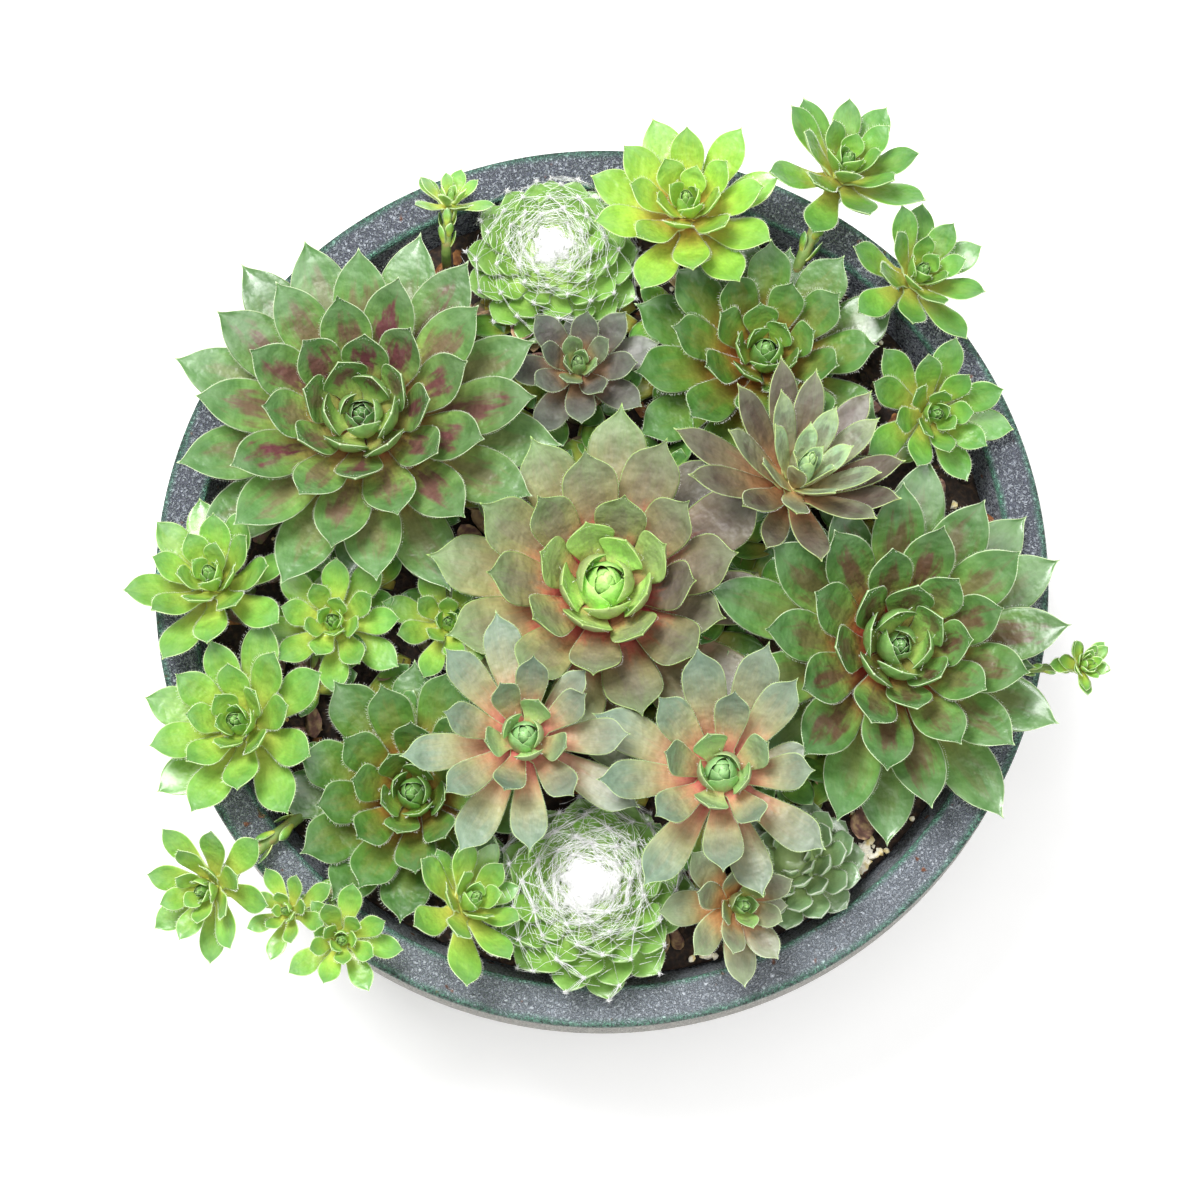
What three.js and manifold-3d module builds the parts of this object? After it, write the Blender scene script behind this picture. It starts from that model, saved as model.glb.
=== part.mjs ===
// Hens and chicks: a shallow round bowl planted with houseleek rosettes of several kinds.
// Millimetres, +Z up, origin at the centre of the bowl's foot.

import * as THREE from 'three';
import { mergeVertices } from 'three/addons/utils/BufferGeometryUtils.js';
import Module from 'manifold-3d';

const wasm = await Module();
wasm.setup();

// ---------------------------------------------------------------- driving dimensions

const DEG = Math.PI / 180;
const GOLDEN_ANGLE = 137.508 * DEG;
const GAP = 0.3;                        // clear air between pieces that touch
const HOLE_GAP = 0.4;                   // the same around a stem in the soil
const FIRST_SEED = 1000;

const POT_SIDES = 44;
const POT_HEIGHT = 115;
const RIM_RADIUS = 150;
const RIM_WIDTH = 13.5;
const RIM_EDGE = 1.2;                   // small round along both edges of the rim
const COLLAR_DEPTH = 26;                // upright band under the rim
const WALL_TOP_RADIUS = 141.5;          // the wall where it meets the collar
const FOOT_RADIUS = 106;
const FOOT_EDGE = 2.5;
const POT_COLOUR = 0x5c6570;
const SOIL_COLOUR = 0x2a211b;
const FLOOR_RADIUS = 101;
const FLOOR_THICKNESS = 7;
const DRAIN_COUNT = 5;
const DRAIN_RADIUS = 6;
const DRAIN_CIRCLE = 62;
const DRAIN_SIDES = 12;

const SOIL_EDGE_HEIGHT = 105.5;
const SOIL_CROWN = 4;                   // the soil stands this much higher in the middle
const SOIL_SHOULDER = 3;                // and slopes down this much to meet the wall
const SOIL_SIDES = 32;
const SOIL_RINGS = [30, 62, 90, 112, 125];
const LUMP_HEIGHT = 0.9;
const LUMP_PITCH = 21;

const STEM_SIDES = 6;
const STEM_DEPTH = 14;                  // how deep a stem stands in the soil
const STEM_NECK = 3;                    // least height of a stem above the soil before it bends
const RUNNER_DROP = 5;                  // how far below the crown a runner starts to arch
const RUNNER_STEPS = 6;
const BRANCH_STEPS = 4;

const NADIR_SLOPE = 100 * DEG;          // how far round its dome a core is covered by leaves
const CORE_TOP = 0.22;                  // flat top of a core, as a share of its radius
const CORE_SPREAD = 0.8;                // leaf bases are larger towards the top of a core
const CORE_UNDERSIDE = 0.25;            // depth of its underside, also as a share of its radius

const GROWTH = 1.7;                     // how soon leaves reach full size, going outwards
const OPENING = 0.85;                   // how soon they open, going outwards
const BUD_TIGHTNESS = 4;                // how soon they stop curling over the bud
const THINNEST = 1.1;                   // least thickness of a leaf near its root
const TIP_RISE = 0.1;                   // rise of a leaf's tip, as a share of its half width
const UNEVEN_BEARING = 3;               // degrees that one leaf may stand off its place
const UNEVEN_SLOPE = 2;                 // degrees
const UNEVEN_SIZE = 0.04;

// How a leaf is shaped beyond its root: place along it, half width, rise of its margins,
// height of the upper face and depth of the keel. Width and margins are shares of the leaf's
// half width, the last two are shares of its thickness.
const LEAF_STATIONS = [
  { t: 0.60, width: 1.00, cup: 0.14, top: 0.30, keel: 0.70 },
  { t: 0.85, width: 0.76, cup: 0.12, top: 0.24, keel: 0.50 },
];
const SCALE_STATIONS = [
  { t: 0.62, width: 1.00, cup: 0.10, top: 0.30, keel: 0.64 },
];

// The kinds of houseleek. Lengths are shares of the rosette's radius, angles are in degrees.
// low and high are how steeply the outermost and the innermost leaves stand, curlLow and
// curlHigh how far they turn upwards from root to tip, narrowest is the width of the innermost
// leaf beside the outermost, and simple is the share of inner leaves with few faces.
const KINDS = {
  blotched: {
    colour: 0x5f9450, core: 0.16, coreHeight: 0.27, leafWidth: 0.31, thickness: 0.12,
    shortest: 0.24, longest: 0.88, narrowest: 0.60, low: 5, high: 84, curlLow: 9,
    curlHigh: 105, simple: 0.30,
  },
  salmon: {
    colour: 0x8f9277, core: 0.17, coreHeight: 0.27, leafWidth: 0.33, thickness: 0.12,
    shortest: 0.28, longest: 0.88, narrowest: 0.60, low: 4, high: 82, curlLow: 10,
    curlHigh: 105, simple: 0.30,
  },
  broad: {
    colour: 0x4f8a3a, core: 0.17, coreHeight: 0.26, leafWidth: 0.37, thickness: 0.12,
    shortest: 0.24, longest: 0.88, narrowest: 0.46, low: 4, high: 84, curlLow: 12,
    curlHigh: 70, simple: 0.30,
  },
  grey: {
    colour: 0x98a086, core: 0.16, coreHeight: 0.22, leafWidth: 0.31, thickness: 0.12,
    shortest: 0.26, longest: 0.92, narrowest: 0.60, low: 6, high: 82, curlLow: 10,
    curlHigh: 105, simple: 0.30,
  },
  narrow: {
    colour: 0x7d6a5c, core: 0.15, coreHeight: 0.24, leafWidth: 0.27, thickness: 0.15,
    shortest: 0.34, longest: 0.90, narrowest: 0.50, low: 12, high: 82, curlLow: 10,
    curlHigh: 22, simple: 0.30,
  },
  dusky: {
    colour: 0x75665c, core: 0.18, coreHeight: 0.26, leafWidth: 0.41, thickness: 0.15,
    shortest: 0.32, longest: 0.88, narrowest: 0.48, low: 12, high: 82, curlLow: 12,
    curlHigh: 40, simple: 0.25,
  },
  lime: {
    colour: 0x86bd45, core: 0.18, coreHeight: 0.26, leafWidth: 0.40, thickness: 0.15,
    shortest: 0.30, longest: 0.88, narrowest: 0.50, low: 12, high: 82, curlLow: 14,
    curlHigh: 36, simple: 0.25,
  },
  cobweb: {
    colour: 0xa9c98c, core: 0.55, coreHeight: 0.62, leafWidth: 0.40, thickness: 0.24,
    shortest: 0.12, longest: 0.50, narrowest: 0.30, low: 2, high: 84, curlLow: 40,
    curlHigh: 8, simple: 1,
  },
  scaly: {
    colour: 0x5d8c4c, core: 0.55, coreHeight: 0.80, leafWidth: 0.46, thickness: 0.30,
    shortest: 0.22, longest: 0.48, narrowest: 0.50, low: -8, high: 84, curlLow: 34,
    curlHigh: 10, simple: 1,
  },
};

// Every plant, from the lowest to the highest, because a leaf rises over those below it.
// x, y: middle of the crown; lift: crown above the rim of the bowl; radius: reach of the
// outermost leaves; lean and towards: tilt of the rosette and the direction that it tilts in;
// turn: direction of the innermost leaf; stem: its radius; root: where a runner leaves the
// soil; arch: how much a runner rises on its way; second: another rosette on the same runner.
const PLANTS = [
  { name: 'chick_runner', kind: 'lime', x: 159, y: -30, lift: 4.5, radius: 13, leaves: 9,
    lean: 25, towards: 5, turn: 179, stem: 1.3, root: [121, -32], arch: 0 },
  { name: 'chick_overhang', kind: 'lime', x: -127, y: -104, lift: 8, radius: 25, leaves: 20,
    lean: 32, towards: 218, turn: 300, stem: 2.0, root: [-96, -77], arch: 4 },
  { name: 'chick_pair_overhang', kind: 'lime', x: -102, y: -113, lift: 8, radius: 17,
    leaves: 14, lean: 18, towards: 190, turn: 34, stem: 1.9, root: [-76, -97], arch: 4,
    second: { x: -85, y: -122, lift: 10, radius: 21, leaves: 17, lean: 10, towards: 270,
      turn: 80 } },
  { name: 'hen_scaly', kind: 'scaly', x: 65, y: -97, lift: -1.5, radius: 23, leaves: 44,
    lean: 12, towards: 135, turn: 0, stem: 3.0 },
  { name: 'cobweb_top', kind: 'cobweb', x: -17, y: 109, lift: -0.5, radius: 30, leaves: 64,
    lean: 6, towards: 90, turn: 0, stem: 3.4 },
  { name: 'cobweb_bottom', kind: 'cobweb', x: -3, y: -108, lift: 1, radius: 34, leaves: 70,
    lean: 8, towards: 115, turn: 60, stem: 3.6 },
  { name: 'chick_inner', kind: 'lime', x: -51, y: -16, lift: 1, radius: 24, leaves: 17,
    lean: 0, towards: 0, turn: 30, stem: 1.8 },
  { name: 'chick_left_inner', kind: 'lime', x: -89, y: -16, lift: 3, radius: 27, leaves: 20,
    lean: 4, towards: 200, turn: 0, stem: 2.0 },
  { name: 'hen_lower_left', kind: 'broad', x: -61, y: -73, lift: 0, radius: 47, leaves: 34,
    lean: 6, towards: 225, turn: 20, stem: 3.2 },
  { name: 'hen_upper_right', kind: 'broad', x: 54, y: 74, lift: 1, radius: 47, leaves: 34,
    lean: 5, towards: 60, turn: 0, stem: 3.2 },
  { name: 'chick_purple', kind: 'dusky', x: -8, y: 70, lift: 8, radius: 28, leaves: 19,
    lean: 4, towards: 90, turn: 50, stem: 2.2 },
  { name: 'hen_upper_left', kind: 'blotched', x: -79, y: 51, lift: 3, radius: 67, leaves: 50,
    lean: 4, towards: 144, turn: 15, stem: 4.5 },
  { name: 'hen_right', kind: 'blotched', x: 95, y: -25, lift: 3, radius: 65, leaves: 48,
    lean: 10, towards: 345, turn: 70, stem: 4.5 },
  { name: 'hen_centre', kind: 'salmon', x: 1, y: -7, lift: 5, radius: 64, leaves: 40,
    lean: 2, towards: 90, turn: 10, stem: 4.2 },
  { name: 'chick_left_upper', kind: 'lime', x: -128, y: -5, lift: 6, radius: 32, leaves: 22,
    lean: 20, towards: 125, turn: 0, stem: 2.4, root: [-119, -2], arch: 2 },
  { name: 'chick_left_lower', kind: 'lime', x: -117, y: -52, lift: 8, radius: 36, leaves: 23,
    lean: 14, towards: 172, turn: 60, stem: 2.4, root: [-111, -50], arch: 2 },
  { name: 'chick_right', kind: 'lime', x: 109, y: 56, lift: 8, radius: 28, leaves: 20,
    lean: 20, towards: 320, turn: 25, stem: 2.2 },
  { name: 'chick_bottom', kind: 'lime', x: -46, y: -113, lift: 13, radius: 30, leaves: 19,
    lean: 28, towards: 32, turn: 75, stem: 2.2 },
  { name: 'chick_bronze', kind: 'dusky', x: 43, y: -110, lift: 13, radius: 28, leaves: 18,
    lean: 22, towards: 325, turn: 0, stem: 2.2 },
  { name: 'chick_top_right', kind: 'lime', x: 104, y: 101, lift: 8, radius: 28, leaves: 19,
    lean: 24, towards: 30, turn: 254, stem: 2.2, root: [87, 87], arch: 4 },
  { name: 'chick_top', kind: 'lime', x: 80, y: 136, lift: 10, radius: 31, leaves: 20,
    lean: 28, towards: 62, turn: 145, stem: 2.2, root: [65, 105], arch: 4 },
  { name: 'chick_stalked', kind: 'lime', x: -52, y: 126, lift: 12, radius: 16, leaves: 12,
    lean: 40, towards: 78, turn: 45, stem: 1.7, root: [-53, 111], arch: 3 },
  { name: 'hen_lime', kind: 'lime', x: 29, y: 121, lift: 15, radius: 36, leaves: 24,
    lean: 14, towards: 105, turn: 5, stem: 2.8, root: [28, 114], arch: 2 },
  { name: 'hen_purple', kind: 'narrow', x: 63, y: 26, lift: 21, radius: 44, leaves: 28,
    lean: 24, towards: 52, turn: 35, stem: 3.0 },
  { name: 'hen_lower_middle', kind: 'grey', x: -25, y: -59, lift: 27, radius: 42, leaves: 21,
    lean: 0, towards: 0, turn: 0, stem: 3.0 },
  { name: 'hen_lower_right', kind: 'grey', x: 39, y: -71, lift: 27, radius: 46, leaves: 22,
    lean: 0, towards: 0, turn: 50, stem: 3.2 },
];

// A leaf that would meet another plant, another leaf, the soil or the bowl is raised a little,
// or grows smaller, and is raised further only where neither is enough.
const RAISE_ROUNDS = [[0, 4, 8], [13, 18, 24], [32]];
const SIZE_STEPS = [1, 0.9, 0.8, 0.7, 0.6];
const LEAF_FORMS = RAISE_ROUNDS.flatMap((round) => SIZE_STEPS.flatMap((size) => (
  round.map((raise) => ({ raise: raise * DEG, size })))));
const CLEARANCE = 0.35;
const TOUCH = 0.002;                    // cubic millimetres that count as no overlap

// Space around a crown that lower plants leave free, as shares of the rosette's radius.
const ROOM = { topRadius: 0.42, bottomRadius: 0.24, height: 0.5, below: 0.08, sides: 7 };

// ---------------------------------------------------------------- solids

function toSolid(geometry) {
  const bare = geometry.clone();
  bare.deleteAttribute('normal');
  bare.deleteAttribute('uv');
  const merged = mergeVertices(bare, 1e-4);
  const index = merged.index.array;
  const kept = [];
  for (let i = 0; i < index.length; i += 3) {
    const [a, b, c] = [index[i], index[i + 1], index[i + 2]];
    if (a !== b && b !== c && c !== a) kept.push(a, b, c);
  }
  return new wasm.Manifold(new wasm.Mesh({
    numProp: 3,
    vertProperties: new Float32Array(merged.attributes.position.array),
    triVerts: new Uint32Array(kept),
  }));
}

function toGeometry(solid) {
  const mesh = solid.getMesh();
  const geometry = new THREE.BufferGeometry();
  geometry.setAttribute('position', new THREE.BufferAttribute(mesh.vertProperties, 3));
  geometry.setIndex(new THREE.BufferAttribute(mesh.triVerts, 1));
  return geometry;
}

function joined(solids) {
  return wasm.Manifold.union(solids);
}

function named(name, geometry, colour, roughness, metalness) {
  const material = new THREE.MeshStandardMaterial({ color: colour, roughness, metalness });
  const mesh = new THREE.Mesh(geometry, material);
  mesh.name = name;
  return mesh;
}

// Vertical prism with its corners at radius from its axis.
function uprightPrism(x, y, low, high, radius, sides) {
  const prism = new THREE.CylinderGeometry(radius, radius, high - low, sides);
  prism.rotateX(Math.PI / 2);
  prism.translate(x, y, (low + high) / 2);
  return toSolid(prism);
}

// ---------------------------------------------------------------- bowl and soil

const WALL_SLOPE = (RIM_RADIUS - RIM_WIDTH - FLOOR_RADIUS) / (POT_HEIGHT - FLOOR_THICKNESS);

function innerWallRadius(z) {
  return FLOOR_RADIUS + (z - FLOOR_THICKNESS) * WALL_SLOPE;
}

function potSolid() {
  const inner = RIM_RADIUS - RIM_WIDTH;
  const collarFoot = POT_HEIGHT - COLLAR_DEPTH;
  const profile = [
    [0, 0],
    [FOOT_RADIUS - FOOT_EDGE, 0],
    [FOOT_RADIUS, FOOT_EDGE],
    [WALL_TOP_RADIUS, collarFoot],
    [RIM_RADIUS - RIM_EDGE, collarFoot + 2 * RIM_EDGE],
    [RIM_RADIUS, collarFoot + 4 * RIM_EDGE],
    [RIM_RADIUS, POT_HEIGHT - RIM_EDGE],
    [RIM_RADIUS - RIM_EDGE, POT_HEIGHT],
    [inner + RIM_EDGE, POT_HEIGHT],
    [inner, POT_HEIGHT - RIM_EDGE],
    [FLOOR_RADIUS, FLOOR_THICKNESS],
    [0, FLOOR_THICKNESS],
  ].map(([r, z]) => new THREE.Vector2(r, z));
  const lathe = new THREE.LatheGeometry(profile, POT_SIDES);
  lathe.rotateX(Math.PI / 2);
  let pot = toSolid(lathe);
  for (let i = 0; i < DRAIN_COUNT; i += 1) {
    const angle = (i * 2 * Math.PI) / DRAIN_COUNT;
    const x = DRAIN_CIRCLE * Math.cos(angle);
    const y = DRAIN_CIRCLE * Math.sin(angle);
    const drain = uprightPrism(x, y, -1, FLOOR_THICKNESS + 1, DRAIN_RADIUS, DRAIN_SIDES);
    pot = pot.subtract(drain);
  }
  return pot;
}

function soilHeight(x, y) {
  const reach = Math.hypot(x, y) / RIM_RADIUS;
  const lumps = Math.sin(x / LUMP_PITCH + 1) * Math.cos((y * 1.3) / LUMP_PITCH)
    + 0.6 * Math.sin((x + y) / (LUMP_PITCH * 0.47));
  return SOIL_EDGE_HEIGHT + SOIL_CROWN * (1 - reach * reach) + LUMP_HEIGHT * lumps;
}

// A ring of points for every radius, closed by one point above and one below.
function soilSolid() {
  const bottom = FLOOR_THICKNESS + GAP;
  const flat = Math.cos(Math.PI / POT_SIDES);
  const positions = [0, 0, soilHeight(0, 0)];
  const addRing = (radius, height) => {
    for (let j = 0; j < SOIL_SIDES; j += 1) {
      const angle = (j * 2 * Math.PI) / SOIL_SIDES;
      const x = radius * Math.cos(angle);
      const y = radius * Math.sin(angle);
      positions.push(x, y, height ?? soilHeight(x, y));
    }
  };
  SOIL_RINGS.forEach((radius) => addRing(radius));
  const shoulder = SOIL_EDGE_HEIGHT - SOIL_SHOULDER;
  addRing(innerWallRadius(shoulder) * flat - GAP, shoulder);
  addRing(innerWallRadius(bottom) * flat - GAP, bottom);
  positions.push(0, 0, bottom);
  const rings = SOIL_RINGS.length + 2;
  const last = positions.length / 3 - 1;
  const at = (ring, j) => 1 + ring * SOIL_SIDES + (j % SOIL_SIDES);
  const index = [];
  for (let j = 0; j < SOIL_SIDES; j += 1) {
    index.push(0, at(0, j), at(0, j + 1));
    for (let ring = 0; ring < rings - 1; ring += 1) {
      index.push(at(ring, j), at(ring + 1, j), at(ring + 1, j + 1));
      index.push(at(ring, j), at(ring + 1, j + 1), at(ring, j + 1));
    }
    index.push(last, at(rings - 1, j + 1), at(rings - 1, j));
  }
  const geometry = new THREE.BufferGeometry();
  geometry.setAttribute('position', new THREE.Float32BufferAttribute(positions, 3));
  geometry.setIndex(index);
  return toSolid(geometry);
}

// ---------------------------------------------------------------- leaf bases

// Leaf bases tile the core of a rosette in two sets of spirals. A base has its upper corner at
// point i of the golden-angle spiral, and its side corners left and right points further on.
function spiralsOf(count) {
  if (count < 12) return { left: 2, right: 3 };
  if (count < 32) return { left: 5, right: 3 };
  if (count < 60) return { left: 5, right: 8 };
  return { left: 13, right: 8 };
}

function wrapped(angle) {
  return angle - 2 * Math.PI * Math.round(angle / (2 * Math.PI));
}

// Point s of the spiral over the domed core, in the rosette's own frame.
function corePoint(head, kind, s) {
  const spirals = spiralsOf(head.leaves);
  const last = head.leaves + spirals.left + spirals.right - 1;
  const slope = (s / last) ** CORE_SPREAD * NADIR_SLOPE;
  const radius = head.radius * kind.core * (CORE_TOP + (1 - CORE_TOP) * Math.sin(slope));
  const bearing = head.turn * DEG + s * GOLDEN_ANGLE;
  return new THREE.Vector3(
    radius * Math.cos(bearing),
    radius * Math.sin(bearing),
    head.radius * kind.coreHeight * Math.cos(slope),
  );
}

// Corners of leaf base i: upper, left, lower and right.
function baseCorners(i, { left, right }) {
  return [i, i + left, i + left + right, i + right];
}

// ---------------------------------------------------------------- leaves

// Repeatable draws between -1 and 1.
function drawer(seed) {
  let state = seed;
  return () => {
    state = (state * 48271) % 2147483647;
    return (2 * state) / 2147483647 - 1;
  };
}

// The leaves of one rosette in its own frame, from the innermost to the outermost.
function leavesOf(head, kind, seed) {
  const draw = drawer(seed);
  const spirals = spiralsOf(head.leaves);
  const sideways = wrapped((spirals.left + spirals.right) * GOLDEN_ANGLE) / 2;
  const list = [];
  for (let i = 0; i < head.leaves; i += 1) {
    const age = i / (head.leaves - 1);
    const grown = 1 - (1 - age) ** GROWTH;
    const between = (inner, outer) => inner + (outer - inner) * grown;
    const steepness = kind.high + (kind.low - kind.high) * age ** OPENING;
    const root = baseCorners(i, spirals).map((s) => corePoint(head, kind, s));
    const middle = root.reduce((sum, corner) => sum.add(corner), new THREE.Vector3());
    middle.divideScalar(root.length);
    const width = head.radius * kind.leafWidth * between(kind.narrowest, 1);
    const curl = kind.curlLow + (kind.curlHigh - kind.curlLow) * (1 - age) ** BUD_TIGHTNESS;
    list.push({
      root,
      bearing: head.turn * DEG + i * GOLDEN_ANGLE + sideways + UNEVEN_BEARING * DEG * draw(),
      out: Math.hypot(middle.x, middle.y),
      up: middle.z,
      length: head.radius * between(kind.shortest, kind.longest) * (1 + UNEVEN_SIZE * draw()),
      half: (width / 2) * (1 + UNEVEN_SIZE * draw()),
      thickness: Math.max(width * kind.thickness, THINNEST),
      rise: (steepness - curl / 2 + UNEVEN_SLOPE * draw()) * DEG,
      curl: curl * DEG,
      stations: age <= kind.simple ? SCALE_STATIONS : LEAF_STATIONS,
    });
  }
  return list;
}

// Middle line of a leaf that leaves its root at one steepness and curls evenly to its tip.
function alongLeaf(leaf, t, raise, size) {
  const start = leaf.rise + raise;
  const angle = start + leaf.curl * t;
  const length = leaf.length * size;
  return {
    out: leaf.out + (length * (Math.sin(angle) - Math.sin(start))) / leaf.curl,
    up: leaf.up - (length * (Math.cos(angle) - Math.cos(start))) / leaf.curl,
    angle,
  };
}

// Diamond sections beyond the root, and the tip; swell makes the leaf larger all over.
function leafPoints(leaf, raise, size, swell) {
  const outward = new THREE.Vector3(Math.cos(leaf.bearing), Math.sin(leaf.bearing), 0);
  const side = new THREE.Vector3(-outward.y, outward.x, 0);
  const points = [];
  const addPoint = (station, across, lift) => {
    const out = station.out - Math.sin(station.angle) * lift;
    const up = station.up + Math.cos(station.angle) * lift;
    const point = new THREE.Vector3(0, 0, up);
    points.push(point.addScaledVector(outward, out).addScaledVector(side, across));
  };
  leaf.stations.forEach((shape) => {
    const middle = alongLeaf(leaf, shape.t, raise, size);
    const half = leaf.half * shape.width * size + swell;
    const margin = leaf.half * shape.cup * size;
    addPoint(middle, 0, leaf.thickness * shape.top + swell);
    addPoint(middle, -half, margin);
    addPoint(middle, 0, -leaf.thickness * shape.keel - swell);
    addPoint(middle, half, margin);
  });
  const end = alongLeaf(leaf, 1 + swell / leaf.length, raise, size);
  addPoint(end, 0, leaf.half * size * TIP_RISE);
  return points;
}

// Faces from the root, given by the numbers of its corners, over the sections to the tip.
function leafFaces(corners, first, sections) {
  const faces = [];
  let ring = corners;
  for (let section = 0; section < sections; section += 1) {
    const next = [0, 1, 2, 3].map((j) => first + section * 4 + j);
    for (let j = 0; j < 4; j += 1) {
      const k = (j + 1) % 4;
      faces.push(ring[j], ring[k], next[k], ring[j], next[k], next[j]);
    }
    ring = next;
  }
  const tip = first + sections * 4;
  for (let j = 0; j < 4; j += 1) faces.push(ring[j], ring[(j + 1) % 4], tip);
  return faces;
}

function solidFrom(points, faces, place) {
  const geometry = new THREE.BufferGeometry().setFromPoints(points);
  geometry.setIndex(faces);
  geometry.applyMatrix4(place);
  return toSolid(geometry);
}

// A leaf on its own, closed at the root, to test where it has room.
function looseLeaf(leaf, form, swell, place) {
  const points = [...leaf.root, ...leafPoints(leaf, form.raise, form.size, swell)];
  const faces = [0, 2, 1, 0, 3, 2, ...leafFaces([0, 1, 2, 3], 4, leaf.stations.length)];
  return solidFrom(points, faces, place);
}

// ---------------------------------------------------------------- rosettes and stems

function placeOf(head) {
  const towards = head.towards * DEG;
  const axis = new THREE.Vector3(-Math.sin(towards), Math.cos(towards), 0);
  const place = new THREE.Matrix4().makeRotationAxis(axis, head.lean * DEG);
  return place.setPosition(head.x, head.y, POT_HEIGHT + head.lift);
}

// Core and leaves in one skin. A leaf base with no form stays closed.
function rosetteSolid(head, kind, leaves, forms) {
  const spirals = spiralsOf(head.leaves);
  const around = spirals.left + spirals.right;
  const points = [];
  for (let s = 0; s < head.leaves + around; s += 1) points.push(corePoint(head, kind, s));
  const faces = [];
  leaves.forEach((leaf, i) => {
    const corners = baseCorners(i, spirals);
    const [upper, left, lower, right] = corners;
    if (!forms[i]) {
      faces.push(upper, left, lower, upper, lower, right);
      return;
    }
    faces.push(...leafFaces(corners, points.length, leaf.stations.length));
    points.push(...leafPoints(leaf, forms[i].raise, forms[i].size, 0));
  });
  const height = head.radius * kind.coreHeight;
  const apex = points.push(new THREE.Vector3(0, 0, height)) - 1;
  const under = height * Math.cos(NADIR_SLOPE) - CORE_UNDERSIDE * head.radius * kind.core;
  const nadir = points.push(new THREE.Vector3(0, 0, under)) - 1;
  for (let j = 0; j < around; j += 1) {
    const k = (j + spirals.right) % around;
    faces.push(apex, j, k, nadir, head.leaves + k, head.leaves + j);
  }
  return solidFrom(points, faces, placeOf(head));
}

function tube(curve, radius, steps) {
  const outline = new THREE.Shape();
  for (let j = 0; j < STEM_SIDES; j += 1) {
    const angle = (j * 2 * Math.PI) / STEM_SIDES;
    const x = radius * Math.cos(angle);
    const y = radius * Math.sin(angle);
    if (j === 0) outline.moveTo(x, y);
    else outline.lineTo(x, y);
  }
  outline.closePath();
  const options = { steps, bevelEnabled: false, extrudePath: curve };
  return toSolid(new THREE.ExtrudeGeometry(outline, options));
}

function rootOf(plant) {
  const [x, y] = plant.root ?? [plant.x, plant.y];
  return new THREE.Vector3(x, y, soilHeight(x, y));
}

function crownOf(head) {
  return new THREE.Vector3(head.x, head.y, POT_HEIGHT + head.lift);
}

// A stem stands upright in the soil, and one with a root of its own arches over to its crown.
function stemSolids(plant) {
  const root = rootOf(plant);
  const foot = root.clone().setZ(root.z - STEM_DEPTH);
  const crown = crownOf(plant);
  if (!plant.root) return [tube(new THREE.LineCurve3(foot, crown), plant.stem, 1)];
  const bendHeight = Math.max(root.z + STEM_NECK, crown.z - RUNNER_DROP - plant.arch);
  const bend = root.clone().setZ(bendHeight);
  const middle = bend.clone().lerp(crown, 0.5).setZ(crown.z - plant.arch / 5);
  const runner = new THREE.CatmullRomCurve3([bend, middle, crown]);
  const solids = [
    tube(new THREE.LineCurve3(foot, bend.clone().setZ(bendHeight + 1)), plant.stem, 1),
    tube(runner, plant.stem, RUNNER_STEPS),
  ];
  if (plant.second) {
    const other = crownOf(plant.second);
    const fork = middle.clone().lerp(other, 0.5);
    const branch = new THREE.CatmullRomCurve3([middle, fork, other]);
    solids.push(tube(branch, plant.stem, BRANCH_STEPS));
  }
  return solids;
}

// Plain hole in the soil around a stem, with the gap all round and under it.
function holeSolid(plant) {
  const root = rootOf(plant);
  const radius = plant.stem / Math.cos(Math.PI / STEM_SIDES) + HOLE_GAP;
  const bottom = root.z - STEM_DEPTH - GAP;
  return uprightPrism(root.x, root.y, bottom, POT_HEIGHT, radius, STEM_SIDES);
}

// ---------------------------------------------------------------- planting

function boxesMeet(a, b) {
  return [0, 1, 2].every((k) => a.min[k] <= b.max[k] && b.min[k] <= a.max[k]);
}

function meets(solid, others) {
  const box = solid.boundingBox();
  return others.some((other) => boxesMeet(box, other.boundingBox())
    && solid.intersect(other).volume() > TOUCH);
}

// The first form of a leaf that stays clear of other plants and of its own rosette, if any.
function clearForm(leaf, place, others, siblings) {
  const isClear = (form) => !meets(looseLeaf(leaf, form, 0, place), siblings)
    && !meets(looseLeaf(leaf, form, CLEARANCE, place), others);
  return LEAF_FORMS.find(isClear) ?? null;
}

// From the outermost leaf to the innermost, so that each rests over the ones below it.
function settledForms(head, leaves, others, siblings) {
  const place = placeOf(head);
  const forms = leaves.map(() => null);
  for (let i = leaves.length - 1; i >= 0; i -= 1) {
    forms[i] = clearForm(leaves[i], place, others, siblings);
    if (forms[i]) siblings.push(looseLeaf(leaves[i], forms[i], 0, place));
  }
  return forms;
}

// Space that the lower plants leave free around a crown that grows later, wider upwards.
function crownRoom(head) {
  const height = head.radius * ROOM.height;
  const top = head.radius * ROOM.topRadius;
  const bottom = head.radius * ROOM.bottomRadius;
  const room = new THREE.CylinderGeometry(top, bottom, height, ROOM.sides);
  room.rotateX(Math.PI / 2);
  room.translate(0, 0, height / 2 - head.radius * ROOM.below);
  room.applyMatrix4(placeOf(head));
  return toSolid(room);
}

function headsOf(plant) {
  return plant.second ? [plant, plant.second] : [plant];
}

// Stems and bare cores, which no leaf may cross.
function bareSolid(plant) {
  const kind = KINDS[plant.kind];
  const cores = headsOf(plant).map((head) => rosetteSolid(head, kind, leavesOf(head, kind, 1), []));
  return joined([...stemSolids(plant), ...cores]);
}

function plantSolid(plant, number, others) {
  const kind = KINDS[plant.kind];
  const siblings = [];
  const rosettes = headsOf(plant).map((head, which) => {
    const leaves = leavesOf(head, kind, FIRST_SEED + 10 * number + which);
    const forms = settledForms(head, leaves, others, siblings);
    return rosetteSolid(head, kind, leaves, forms);
  });
  return joined([...stemSolids(plant), ...rosettes]);
}

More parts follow.
